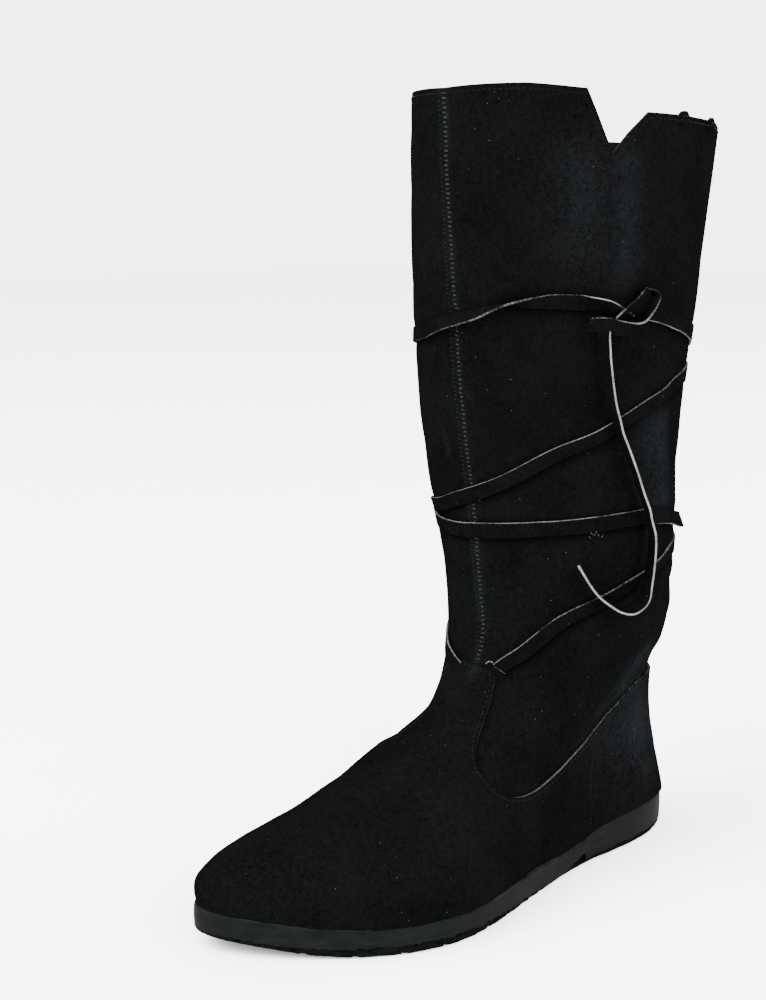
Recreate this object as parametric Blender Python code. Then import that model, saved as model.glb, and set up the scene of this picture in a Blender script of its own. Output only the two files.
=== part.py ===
"""Left suede boot with a tall wrapped shaft, metres, +Z up, toe toward -Y, outer side +X.

The upper is a stack of closed rings from the feather edge to the collar. The vamp and the
counter lie on the same rings, so every leather layer follows one surface.
"""
import math

import bmesh
import bpy
import numpy as np

MM = 0.001

# Main sizes in millimetres
HEEL_REST_F = 38.0       # heel back to the middle of the heel's flat
WALL = 1.6               # upper leather
SEAT_GAP = 0.3           # between two seated pieces
OVERLAY = 1.4            # vamp and counter leather
SOLE_LEDGE = 2.3         # outsole edge beyond the upper
TREAD_INSET = 0.8        # tread layer behind the sole wall
GROOVE_DEPTH = 1.5
GROOVE_WIDTH = 2.6
GROOVE_SLOPE = 0.5
INSOLE_THICK = 2.5
INSOLE_INSET = 1.0       # insole edge inside the upper's wall
SIDE_SEAM_U = 0.308      # vamp meets counter, as a share of the way round
LACE_WIDTH = 7.5
LACE_THICK = 1.4
LACE_GAP = 0.85

# Mesh steps
COLUMNS = 60
FOOT_ROWS = 10
SHAFT_ROWS = 13
SOLE_STEPS = 26
STRAND_STEP = 9.0        # mm along a strand
END_STEP = 6.0           # mm along a free end

# Rings of the upper: foremost and rearmost point as distance from the heel back and height, then
# half widths along the ring, how far the ring follows the sole's line, and a shift to the outer side
RING_COLUMNS = ("front_f", "front_z", "back_f", "back_z", "heel_tip", "heel", "waist", "ball", "toe", "tip",
                "follow", "shift")
RINGS = (
    (282.0, 19.0, 5.0, 16.8, 54.5, 43.2, 35.0, 54.2, 51.0, 41.0, 1.0, 0.0),       # feather edge
    (282.0, 29.0, 9.6, 34.0, 52.5, 44.0, 36.5, 55.5, 52.0, 41.5, 0.7, 0.0),       # foot wall
    (274.0, 34.5, 13.9, 53.0, 49.5, 42.6, 37.0, 47.0, 43.0, 34.0, 0.3, 0.0),      # toe crown
    (256.0, 38.5, 16.0, 71.0, 46.5, 39.6, 36.5, 40.5, 36.5, 28.5, 0.0, 0.0),      # toes
    (231.0, 46.0, 13.4, 88.0, 45.0, 37.2, 36.5, 38.5, 34.5, 27.0, 0.0, 0.0),      # ball
    (202.0, 55.5, 7.2, 104.0, 46.5, 38.8, 37.5, 35.5, 31.5, 25.5, 0.0, 0.5),      # behind the ball
    (167.5, 72.0, 5.6, 120.0, 49.0, 42.0, 40.5, 35.0, 30.5, 25.5, 0.0, 1.0),      # instep
    (143.5, 97.5, 9.2, 136.0, 51.0, 47.5, 45.5, 44.0, 39.0, 34.0, 0.0, 0.5),      # tongue top
    (131.5, 130.0, 15.8, 153.0, 56.0, 55.0, 53.5, 54.0, 51.5, 48.5, 0.0, -1.0),   # ankle
    (134.0, 170.0, 17.6, 178.0, 60.0, 60.0, 60.0, 59.0, 58.0, 57.0, 0.0, -3.5),   # lower shaft
    (141.0, 220.0, 14.0, 220.0, 63.0, 63.0, 63.0, 63.0, 63.0, 63.0, 0.0, -5.0),   # middle shaft
    (151.3, 290.0, 2.6, 285.0, 64.2, 64.2, 64.2, 64.2, 64.2, 64.2, 0.0, -3.0),    # upper shaft
    (158.7, 366.0, -9.0, 350.0, 62.0, 62.0, 62.0, 62.0, 62.0, 62.0, 0.0, 0.0),    # collar
)
WIDTH_COLUMNS = ("heel_tip", "heel", "waist", "ball", "toe", "tip")
WIDTH_STATIONS = (0.0, 0.15, 0.42, 0.70, 0.90, 1.0)   # share of the ring's length from its back

# Centre line of the foot: distance from the heel back, shift to the outer side
CENTRE_LINE = ((-20.0, 0.0), (40.0, -0.5), (118.0, 1.0), (197.0, 3.0), (248.0, -6.0), (285.0, -16.0))

# Sole seen from the side: distance from the heel back, top height, bottom height, height of the tread layer
SOLE_COLUMNS = ("f", "top", "bottom", "tread")
SOLE_LINE = (
    (-3.0, 16.8, 1.0, 2.4),
    (5.0, 16.8, 0.0, 2.4),
    (64.0, 16.6, 0.0, 2.4),
    (78.0, 14.8, 0.0, 2.2),
    (90.0, 12.2, 0.0, 2.0),     # front of the heel, with the notch behind the waist
    (93.0, 11.5, 2.4, 1.2),
    (100.0, 10.2, 2.2, 1.2),
    (104.0, 9.9, 1.0, 1.8),
    (112.0, 9.8, 0.9, 2.0),
    (132.0, 11.0, 0.5, 2.6),
    (150.0, 12.0, 0.0, 3.6),
    (185.0, 12.3, 0.0, 4.8),
    (225.0, 12.0, 0.0, 4.8),
    (242.0, 13.0, 0.4, 4.0),
    (256.0, 14.3, 1.9, 3.0),
    (288.0, 19.8, 8.6, 1.6),
)
BREAKS_F = (64.0, 78.0, 90.0, 93.0, 100.0, 104.0, 112.0, 132.0)   # sections kept where the line bends
GROOVES_F = (14.0, 30.0, 46.0, 162.0, 177.0, 204.0, 222.0, 240.0, 257.0)

# Upper edge of vamp and counter on one side: share of the way round from the toe, ring number
OVERLAY_EDGE = (
    (0.0, 7.22), (0.040, 7.16), (0.073, 6.88), (0.091, 6.30), (0.128, 5.42), (0.187, 4.05),
    (0.222, 3.10), (0.245, 2.58), (0.262, 2.46), (0.283, 2.68), (0.308, 3.22), (0.335, 3.78),
    (0.400, 3.90), (0.500, 3.86),
)

# Top edge of the shaft: share of the way round, ring number; the dip is the notch on the outer side
COLLAR_EDGE = (
    (0.0, 11.98), (0.05, 12.0), (0.10, 12.02), (0.156, 12.02), (0.1826, 11.66), (0.20, 11.79),
    (0.222, 11.93), (0.30, 11.96), (0.42, 11.945), (0.56, 11.88), (0.60, 11.88), (0.70, 12.0),
    (1.0, 11.98),
)
NOTCH_U = (0.156, 0.1826, 0.222)

# Lace strands: share of the way round (counted on past a full turn), ring number
STRAND_A = (
    (0.066, 7.16), (0.0814, 7.25), (0.0968, 7.353), (0.1329, 7.66), (0.1776, 7.90), (0.247, 8.04),
    (0.330, 8.03), (0.50, 8.10), (0.62, 8.42), (0.75, 8.75), (0.895, 9.03), (1.026, 9.41), (1.105, 9.65),
    (1.188, 9.91), (1.24, 10.10), (1.32, 10.22), (1.50, 10.33), (1.75, 10.41), (1.92, 10.53),
    (2.015, 10.66), (2.067, 10.755), (2.11, 10.775), (2.142, 10.775), (2.1865, 10.75),
)
STRAND_B = (
    (-0.050, 7.30), (-0.088, 7.20), (-0.12, 7.24), (-0.25, 7.70), (-0.50, 8.18), (-0.664, 8.70),
    (-0.765, 8.97), (-0.838, 8.99), (-0.90, 8.95), (-0.945, 8.93), (-1.025, 8.87), (-1.09, 8.83),
    (-1.13, 8.855), (-1.19, 9.06), (-1.28, 9.50), (-1.50, 10.22), (-1.68, 10.56), (-1.73, 10.64),
    (-1.7695, 10.715),
)
KNOT_U = 0.2085
KNOT_V = 10.735
KNOT_LENGTH = 21.0
KNOT_HEIGHT = 14.0
KNOT_DEPTH = 8.5
KNOT_GAP = 0.45

# Free ends: share of the way round, ring number, distance off the leather
HANGING_END = (
    (0.179, 10.545, 6.2), (0.1775, 10.42, 6.5), (0.1826, 10.21, 6.5), (0.191, 10.00, 6.5),
    (0.2104, 9.62, 6.8), (0.2222, 9.36, 6.8), (0.2375, 9.01, 7.0), (0.2444, 8.67, 7.0),
    (0.2450, 8.31, 7.2), (0.2545, 7.95, 8.0), (0.250, 7.66, 8.5), (0.2222, 7.60, 8.0),
    (0.1854, 7.90, 7.5), (0.1639, 8.15, 7.0), (0.1437, 8.52, 7.0),
)
SHORT_END = ((0.189, 10.632, 5.6), (0.178, 10.625, 5.2), (0.166, 10.62, 5.0), (0.153, 10.615, 4.8))

COLOURS = {
    "suede": (0.012, 0.012, 0.013, 1.0),
    "rubber": (0.045, 0.047, 0.050, 1.0),
    "board": (0.05, 0.04, 0.03, 1.0),
}


def clear_scene():
    """Remove every object."""
    for item in list(bpy.data.objects):
        bpy.data.objects.remove(item, do_unlink=True)


def material(name, colour, roughness):
    """Principled material for one kind of stuff."""
    made = bpy.data.materials.new(name)
    made.use_nodes = True
    shader = made.node_tree.nodes["Principled BSDF"]
    shader.inputs["Base Color"].default_value = colour
    shader.inputs["Roughness"].default_value = roughness
    return made


def spline(knots, values, at):
    """Natural cubic spline through the rows of values."""
    knots = np.asarray(knots, float)
    values = np.asarray(values, float)
    at = np.asarray(at, float)
    count = len(knots)
    step = np.diff(knots)
    system = np.eye(count)
    right = np.zeros(values.shape)
    for i in range(1, count - 1):
        system[i, i - 1:i + 2] = step[i - 1], 2 * (step[i - 1] + step[i]), step[i]
        right[i] = 6 * ((values[i + 1] - values[i]) / step[i] - (values[i] - values[i - 1]) / step[i - 1])
    bend = np.linalg.solve(system, right)
    low = np.clip(np.searchsorted(knots, at) - 1, 0, count - 2)
    span = knots[low + 1] - knots[low]
    a = (knots[low + 1] - at) / span
    b = (at - knots[low]) / span
    if values.ndim > 1:
        span, a, b = span[..., None], a[..., None], b[..., None]
    curve = (a ** 3 - a) * bend[low] + (b ** 3 - b) * bend[low + 1]
    return a * values[low] + b * values[low + 1] + curve * span * span / 6


def table(rows, columns, name):
    """One named column of a table."""
    return np.array(rows)[..., columns.index(name)]


def sole_top(f):
    """Height of the outsole's top."""
    return np.interp(f, table(SOLE_LINE, SOLE_COLUMNS, "f"), table(SOLE_LINE, SOLE_COLUMNS, "top"))


def sole_bottom(f):
    """Height of the outsole's underside between its grooves."""
    return np.interp(f, table(SOLE_LINE, SOLE_COLUMNS, "f"), table(SOLE_LINE, SOLE_COLUMNS, "bottom"))


def tread_height(f):
    """Height of the tread layer under the sole wall."""
    return np.interp(f, table(SOLE_LINE, SOLE_COLUMNS, "f"), table(SOLE_LINE, SOLE_COLUMNS, "tread"))


def ring_surface(u, v):
    """Point of the upper's outside: u is the share of the way round from the toe, v the ring number."""
    rings = np.array(RINGS)
    u, v = np.broadcast_arrays(np.asarray(u, float), np.asarray(v, float))
    at = dict(zip(RING_COLUMNS, np.moveaxis(spline(np.arange(len(rings)), rings, v), -1, 0)))
    foot = dict(zip(RING_COLUMNS, rings[0]))
    share = (1 + np.cos(2 * np.pi * u)) / 2
    blend = spline(WIDTH_STATIONS, np.eye(len(WIDTH_STATIONS)), share)
    half = sum(blend[..., i] * at[name] for i, name in enumerate(WIDTH_COLUMNS))
    f = at["back_f"] + (at["front_f"] - at["back_f"]) * share
    flat = foot["back_z"] + (foot["front_z"] - foot["back_z"]) * share
    z = at["back_z"] + (at["front_z"] - at["back_z"]) * share + at["follow"] * (sole_top(f) - flat)
    line = np.array(CENTRE_LINE)
    side = spline(line[:, 0], line[:, 1], f) + at["shift"] + np.sin(2 * np.pi * u) * half
    return np.stack([side, HEEL_REST_F - f, z], -1)


def ring_normal(u, v):
    """Unit normal of the upper's surface, outward."""
    step = 0.0005
    along = ring_surface(u + step, v) - ring_surface(u - step, v)
    up = ring_surface(u, v + 4 * step) - ring_surface(u, v - 4 * step)
    normal = np.cross(along, up)
    return normal / np.linalg.norm(normal, axis=-1, keepdims=True)


def leather_point(u, v, lift):
    """Point at a distance off the upper's outside."""
    return ring_surface(u, v) + ring_normal(u, v) * np.asarray(lift, float)[..., None]


def make_object(name, points, faces, finish):
    """Closed mesh object from points in millimetres."""
    mesh = bpy.data.meshes.new(name)
    build = bmesh.new()
    corners = [build.verts.new(tuple(np.asarray(p) * MM)) for p in points]
    for face in faces:
        build.faces.new([corners[i] for i in face])
    bmesh.ops.remove_doubles(build, verts=build.verts, dist=1e-6)
    bmesh.ops.recalc_face_normals(build, faces=build.faces)
    build.to_mesh(mesh)
    build.free()
    mesh.materials.append(finish)
    made = bpy.data.objects.new(name, mesh)
    bpy.context.scene.collection.objects.link(made)
    return made


def quad(a, b, c, d, other=False):
    """Two triangles, cut along the first diagonal or the other one."""
    if other:
        return [(b, c, d), (b, d, a)]
    return [(a, b, c), (a, c, d)]


def shell(name, outer, inner, turns, closed, finish):
    """Solid between two matching grids (columns, rows, 3), cut alike on the outer and the inner side."""
    columns, rows = outer.shape[:2]
    points = np.concatenate([outer.reshape(-1, 3), inner.reshape(-1, 3)])
    half = columns * rows
    last = columns if closed else columns - 1
    faces = []
    for i in range(last):
        j = (i + 1) % columns
        mirrored = math.sin(2 * math.pi * (turns[i] + 0.25 / COLUMNS)) < 0
        for k in range(rows - 1):
            corner = (i * rows + k, j * rows + k, j * rows + k + 1, i * rows + k + 1)
            pair = quad(*corner, other=mirrored)
            faces += pair
            faces += [tuple(half + t for t in reversed(face)) for face in pair]
        foot = (i * rows, j * rows)
        head = (i * rows + rows - 1, j * rows + rows - 1)
        faces += quad(foot[1], foot[0], half + foot[0], half + foot[1])
        faces += quad(head[0], head[1], half + head[1], half + head[0])
    if not closed:
        for k in range(rows - 1):
            faces += quad(k, k + 1, half + k + 1, half + k)
            far = (columns - 1) * rows + k
            faces += quad(far + 1, far, half + far, half + far + 1)
    return make_object(name, points, faces, finish)


def loft(name, loops, capped, finish):
    """Solid through closed loops of equal length; uncapped ends shrink to a line."""
    loops = np.asarray(loops)
    count, size = loops.shape[:2]
    faces = []
    for i in range(count - 1):
        for k in range(size):
            m = (k + 1) % size
            faces.append((i * size + k, i * size + m, (i + 1) * size + m, (i + 1) * size + k))
    if capped:
        faces.append(tuple(reversed(range(size))))
        faces.append(tuple((count - 1) * size + k for k in range(size)))
    else:
        faces = [face for face in faces if distinct(loops.reshape(-1, 3), face)]
    return make_object(name, loops.reshape(-1, 3), faces, finish)


def distinct(points, face):
    """True where a face keeps at least three separate corners."""
    places = {tuple(np.round(points[i], 6)) for i in face}
    return len(places) > 2


def grid_columns():
    """Shares of the way round, with the nearest columns moved to the notch and the side seams."""
    u = np.arange(COLUMNS) / COLUMNS
    for place in (*NOTCH_U, SIDE_SEAM_U, 1 - SIDE_SEAM_U):
        u[np.argmin(abs(u - place))] = place
    return u


def overlay_edge(u):
    """Ring number of the vamp's and counter's upper edge."""
    rows = np.array(OVERLAY_EDGE)
    both = np.concatenate([rows[:0:-1] * (-1, 1), rows])
    turned = (np.asarray(u) + 0.5) % 1.0 - 0.5
    return spline(both[:, 0], both[:, 1], turned)


def collar_edge(u):
    """Ring number of the shaft's top edge."""
    rows = np.array(COLLAR_EDGE)
    return np.interp(u, rows[:, 0], rows[:, 1])


def grid_rows(u, shaft):
    """Ring numbers of one column's rows, up to the overlay edge or on to the collar."""
    edge = overlay_edge(u)
    foot = np.linspace(0.0, 1.0, FOOT_ROWS + 1) * edge
    if not shaft:
        return foot
    rise = np.linspace(0.0, 1.0, SHAFT_ROWS + 1)[1:]
    return np.concatenate([foot, edge + (collar_edge(u) - edge) * rise])


def layer(columns, shaft, lift):
    """Grid of points at one distance off the upper's outside, seated on the outsole."""
    rows = np.array([grid_rows(u, shaft) for u in columns])
    u = np.repeat(np.asarray(columns)[:, None], rows.shape[1], axis=1)
    points = leather_point(u, rows, np.full(u.shape, lift))
    seat = sole_top(HEEL_REST_F - points[:, 0, 1]) + SEAT_GAP
    points[:, 0, 2] = seat
    return points


def overlay(name, columns, finish):
    """Leather piece lying on the upper between the feather edge and the overlay edge."""
    inner = layer(columns, False, SEAT_GAP)
    outer = layer(columns, False, SEAT_GAP + OVERLAY)
    for grid in (inner, outer):
        grid[0] += (grid[1] - grid[0]) * 0.05
        grid[-1] += (grid[-2] - grid[-1]) * 0.05
    return shell(name, outer, inner, columns, False, finish)


def outline(u, grow):
    """Feather edge seen from above, moved outward."""
    edge = ring_surface(u, np.zeros(np.shape(u)))[..., :2]
    step = 0.0005
    ahead = ring_surface(u + step, np.zeros(np.shape(u)))[..., :2]
    behind = ring_surface(u - step, np.zeros(np.shape(u)))[..., :2]
    run = ahead - behind
    outward = np.stack([run[..., 1], -run[..., 0]], -1)
    outward /= np.linalg.norm(outward, axis=-1, keepdims=True)
    return edge + outward * grow


def sole_stations():
    """Half turns from toe to heel, each with a depth cut into the underside."""
    front, back = RINGS[0][0], RINGS[0][2]
    stations = []
    for u in np.linspace(0.0, 0.5, SOLE_STEPS + 1):
        f = back + (front - back) * (1 + math.cos(2 * math.pi * u)) / 2
        if all(abs(f - place) > GROOVE_WIDTH for place in GROOVES_F + BREAKS_F):
            stations.append((u, 0.0))
    for f in BREAKS_F:
        stations.append((math.acos(2 * (f - back) / (front - back) - 1) / (2 * math.pi), 0.0))
    mouth = GROOVE_WIDTH / 2
    floor = mouth - GROOVE_SLOPE
    for groove in GROOVES_F:
        for offset, depth in ((-mouth, 0.0), (-floor, GROOVE_DEPTH), (floor, GROOVE_DEPTH), (mouth, 0.0)):
            share = (groove + offset - back) / (front - back)
            stations.append((math.acos(2 * share - 1) / (2 * math.pi), depth))
    return sorted(stations)


def raised(place, height):
    """Point over a place in the plan."""
    return np.array([place[0], place[1], height])


def sole_loop(u, cut):
    """Section of the outsole between the two edges at one half turn."""
    loop = []
    outer_wall, inner_wall = (outline(t, SOLE_LEDGE) for t in (u, 1.0 - u))
    outer_tread, inner_tread = (outline(t, SOLE_LEDGE - TREAD_INSET) for t in (u, 1.0 - u))
    under = sole_bottom(HEEL_REST_F - outer_tread[1])
    under_inner = sole_bottom(HEEL_REST_F - inner_tread[1])
    low = under + tread_height(HEEL_REST_F - outer_tread[1])
    low_inner = under_inner + tread_height(HEEL_REST_F - inner_tread[1])
    middle = (outer_wall + inner_wall) / 2
    base = (outer_tread + inner_tread) / 2
    loop.append(raised(inner_wall, sole_top(HEEL_REST_F - inner_wall[1])))
    loop.append(raised(middle, sole_top(HEEL_REST_F - middle[1])))
    loop.append(raised(outer_wall, sole_top(HEEL_REST_F - outer_wall[1])))
    loop.append(raised(outer_wall, low))
    loop.append(raised(outer_tread, low))
    loop.append(raised(outer_tread, under + cut))
    loop.append(raised(base, (under + under_inner) / 2 + cut))
    loop.append(raised(inner_tread, under_inner + cut))
    loop.append(raised(inner_tread, low_inner))
    loop.append(raised(inner_wall, low_inner))
    return loop


def insole_loop(u):
    """Section of the insole at one half turn."""
    edge = -(WALL + INSOLE_INSET)
    outer, inner = outline(u, edge), outline(1.0 - u, edge)
    loop = []
    for place in (inner, outer):
        loop.append(raised(place, sole_top(HEEL_REST_F - place[1]) + SEAT_GAP + INSOLE_THICK))
    for place in (outer, inner):
        loop.append(raised(place, sole_top(HEEL_REST_F - place[1]) + SEAT_GAP))
    return loop


def even_path(rows, step):
    """Rows of a path table resampled at even lengths along the leather."""
    rows = np.array(rows, float)
    fine = np.linspace(0, len(rows) - 1, 60 * len(rows))
    dense = spline(np.arange(len(rows)), rows, fine)
    lift = dense[:, 2] if rows.shape[1] > 2 else np.full(len(dense), LACE_GAP + LACE_THICK / 2)
    points = leather_point(dense[:, 0], dense[:, 1], lift)
    length = np.concatenate([[0.0], np.cumsum(np.linalg.norm(np.diff(points, axis=0), axis=1))])
    count = max(3, int(round(length[-1] / step)) + 1)
    at = np.linspace(0.0, length[-1], count)
    even = np.stack([np.interp(at, length, points[:, k]) for k in range(3)], -1)
    u = np.interp(at, length, dense[:, 0])
    v = np.interp(at, length, dense[:, 1])
    return even, ring_normal(u, v)


def strap(name, rows, step, upright, finish):
    """Flat strip along a path; an upright strip stands on its edge."""
    points, normals = even_path(rows, step)
    run = np.gradient(points, axis=0)
    run /= np.linalg.norm(run, axis=1, keepdims=True)
    normals -= run * (normals * run).sum(1, keepdims=True)
    normals /= np.linalg.norm(normals, axis=1, keepdims=True)
    across = np.cross(run, normals)
    wide, thin = (normals, across) if upright else (across, normals)
    loops = []
    for place, w, t in zip(points, wide * LACE_WIDTH / 2, thin * LACE_THICK / 2):
        loops.append([place - w - t, place + w - t, place + w + t, place - w + t])
    return loft(name, loops, True, finish)


def knot(finish):
    """Rounded lump where both strands are tied."""
    normal = ring_normal(KNOT_U, KNOT_V)
    along = np.cross((0.0, 0.0, 1.0), normal)
    along /= np.linalg.norm(along)
    up = np.cross(normal, along)
    middle = leather_point(KNOT_U, KNOT_V, KNOT_GAP + KNOT_DEPTH / 2)
    loops = []
    for place in np.linspace(-1.0, 1.0, 9):
        size = max(0.25, (1 - abs(place) ** 2.5) ** 0.5)
        loop = []
        for turn in np.linspace(0, 2 * math.pi, 12, endpoint=False):
            c, s = math.cos(turn), math.sin(turn)
            out = normal * KNOT_DEPTH / 2 * size * math.copysign(abs(c) ** 0.7, c)
            rise = up * KNOT_HEIGHT / 2 * size * math.copysign(abs(s) ** 0.8, s)
            loop.append(middle + along * place * KNOT_LENGTH / 2 + out + rise)
        loops.append(loop)
    return loft("lace_knot", loops, True, finish)


def join_strands(finish):
    """Both wrapped strands as one body, joined where they cross."""
    first = strap("lace_wraps", STRAND_A, STRAND_STEP, False, finish)
    second = strap("strand_tool", STRAND_B, STRAND_STEP, False, finish)
    union = first.modifiers.new("join", "BOOLEAN")
    union.operation = "UNION"
    union.solver = "EXACT"
    union.object = second
    second.hide_render = True
    second.display_type = "WIRE"
    return first


def main():
    """Build every piece."""
    clear_scene()
    suede = material("suede", COLOURS["suede"], 0.95)
    rubber = material("moulded rubber", COLOURS["rubber"], 0.7)
    board = material("insole board", COLOURS["board"], 0.9)
    columns = grid_columns()
    shell("upper", layer(columns, True, 0.0), layer(columns, True, -WALL), columns, True, suede)
    seam = int(np.argmin(abs(columns - SIDE_SEAM_U)))
    front = np.concatenate([columns[COLUMNS - seam:] - 1.0, columns[:seam + 1]])
    overlay("vamp", front, suede)
    overlay("counter", columns[seam:COLUMNS - seam + 1], suede)
    loft("outsole", [sole_loop(u, cut) for u, cut in sole_stations()], False, rubber)
    loft("insole", [insole_loop(u) for u in np.linspace(0.0, 0.5, SOLE_STEPS + 1)], False, board)
    join_strands(suede)
    knot(suede)
    strap("lace_hanging_end", HANGING_END, END_STEP, True, suede)
    strap("lace_short_end", SHORT_END, END_STEP, False, suede)


main()
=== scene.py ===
"""Left suede boot with a wrapped shaft: stitched hide, wound flat lace, moulded rubber sole, studio.

Leather pieces share one ring surface: u is the share of the way round from the toe over the outer
side, v the ring number from the feather edge to the collar. Sizes are in millimetres.
"""

import logging
import math
from dataclasses import dataclass
from enum import Enum
from typing import Any, Iterable, Optional, Sequence

import bmesh
import bpy
import numpy as np
from mathutils import Matrix, Vector

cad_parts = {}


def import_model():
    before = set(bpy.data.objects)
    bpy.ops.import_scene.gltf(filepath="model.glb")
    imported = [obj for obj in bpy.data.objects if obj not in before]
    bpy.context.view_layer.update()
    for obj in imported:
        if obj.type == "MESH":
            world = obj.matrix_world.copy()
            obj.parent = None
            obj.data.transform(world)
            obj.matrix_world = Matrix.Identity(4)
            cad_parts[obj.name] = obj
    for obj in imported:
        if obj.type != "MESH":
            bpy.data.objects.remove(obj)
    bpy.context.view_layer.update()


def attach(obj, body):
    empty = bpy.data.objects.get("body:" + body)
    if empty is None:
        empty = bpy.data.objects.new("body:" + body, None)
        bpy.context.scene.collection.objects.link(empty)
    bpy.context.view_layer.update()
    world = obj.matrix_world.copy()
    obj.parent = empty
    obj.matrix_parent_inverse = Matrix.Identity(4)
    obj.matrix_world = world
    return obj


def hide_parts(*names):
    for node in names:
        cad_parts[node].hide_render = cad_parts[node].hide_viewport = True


LOG = logging.getLogger("boot")
MM = 0.001
BODY = "root"
NAP_AND_PAINTED_LIGHT = "nap"                      # value at a point: how the nap is brushed, with painted highlights and painted shade added
DYE = "dye"                      # value at a point: dye that a cut edge took
SIDE_SEAM = 0.308                # share of the way round where vamp and counter meet
LACE_WIDTH = 7.5
MEASURED_AT_ONCE = 4000          # points, to save memory
Rows = Sequence[Sequence[float]]


class Slot(Enum):
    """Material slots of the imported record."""

    SUEDE = "suede"
    RUBBER = "rubber"
    LACE = "lace"


class StitchKind(Enum):
    """How a stitch lies on its seam."""

    ALONG = "along"
    ACROSS = "across"


# ---------------------------------------------------------------- numbers


def linear(code: str) -> tuple[float, float, float, float]:
    """Linear colour of an sRGB hex value.

    Args:
        code: Six hex digits after a number sign.

    Returns:
        Red, green, blue and alpha.
    """
    shares = [int(code[i:i + 2], 16) / 255 for i in (1, 3, 5)]
    red, green, blue = (s / 12.92 if s <= 0.04045 else ((s + 0.055) / 1.055) ** 2.4 for s in shares)
    return red, green, blue, 1.0


def per_metre(size: float) -> float:
    """Texture scale whose pattern repeats about every size millimetres."""
    return 1000.0 / size


def unit(rows: np.ndarray) -> np.ndarray:
    """Vectors scaled to length one."""
    return rows / np.maximum(np.linalg.norm(rows, axis=-1, keepdims=True), 1e-12)


def spline(knots: Sequence[float], values: Any, at: Any) -> np.ndarray:
    """Natural cubic spline through the rows of values.

    Args:
        knots: Rising places of the rows.
        values: One row for each knot.
        at: Places to read.

    Returns:
        One row for each place.
    """
    knots, values, at = (np.asarray(x, float) for x in (knots, values, at))
    count = len(knots)
    step = np.diff(knots)
    system, right = np.eye(count), np.zeros(values.shape)
    for i in range(1, count - 1):
        system[i, i - 1:i + 2] = step[i - 1], 2 * (step[i - 1] + step[i]), step[i]
        right[i] = 6 * ((values[i + 1] - values[i]) / step[i] - (values[i] - values[i - 1]) / step[i - 1])
    bend = np.linalg.solve(system, right)
    low = np.clip(np.searchsorted(knots, at) - 1, 0, count - 2)
    span = knots[low + 1] - knots[low]
    a, b = (knots[low + 1] - at) / span, (at - knots[low]) / span
    if values.ndim > 1:
        span, a, b = span[..., None], a[..., None], b[..., None]
    curve = (a ** 3 - a) * bend[low] + (b ** 3 - b) * bend[low + 1]
    return a * values[low] + b * values[low + 1] + curve * span * span / 6


def drawn_through(rows: Rows, count: int) -> np.ndarray:
    """Rows read at count even places along the spline through them."""
    return spline(np.arange(len(rows)), rows, np.linspace(0, len(rows) - 1, count))


def run_length(points: np.ndarray) -> np.ndarray:
    """Length along a row of points, from zero."""
    return np.concatenate([[0.0], np.cumsum(np.linalg.norm(np.diff(points, axis=0), axis=1))])


def even(points: np.ndarray, step: float, *others: np.ndarray) -> list[np.ndarray]:
    """A path and what goes with it, resampled at even lengths.

    Args:
        points: Points along the path.
        step: Wanted distance between points.
        others: Arrays with one row for each point.

    Returns:
        The new points, then the other arrays.
    """
    length = run_length(points)
    at = np.linspace(0.0, length[-1], max(3, int(round(length[-1] / step)) + 1))
    made = []
    for rows in (points, *others):
        flat = rows.reshape(len(rows), -1)
        columns = [np.interp(at, length, flat[:, k]) for k in range(flat.shape[1])]
        made.append(np.stack(columns, -1).reshape((len(at), *rows.shape[1:])))
    return made


def nearness(points: np.ndarray, line: np.ndarray, width: float) -> np.ndarray:
    """How near points lie to a line of points.

    Args:
        points: Points to measure.
        line: Points along the line.
        width: Distance where the result falls to a third.

    Returns:
        Values from 0 to 1.
    """
    near = np.zeros(len(points))
    for some in np.array_split(np.arange(len(points)), max(1, len(points) // MEASURED_AT_ONCE)):
        gap = np.linalg.norm(points[some, None] - line[None], axis=2).min(1)
        near[some] = np.exp(-(gap / width) ** 2)
    return near


# ---------------------------------------------------------------- finishes


def add_node(tree: bpy.types.NodeTree, kind: str, settings: Optional[dict] = None,
             links: Optional[dict] = None) -> bpy.types.Node:
    """Add one shader node.

    Args:
        tree: Node tree that takes the node.
        kind: Blender's name of the node type.
        settings: Values by attribute name, or by name or number of an input.
        links: Output sockets by name or number of the input that they feed.

    Returns:
        The new node.
    """
    node = tree.nodes.new(kind)
    for key, value in (settings or {}).items():
        if isinstance(key, str) and hasattr(node, key):
            setattr(node, key, value)
        else:
            node.inputs[key].default_value = value
    for key, socket in (links or {}).items():
        tree.links.new(socket, node.inputs[key])
    return node


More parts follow.
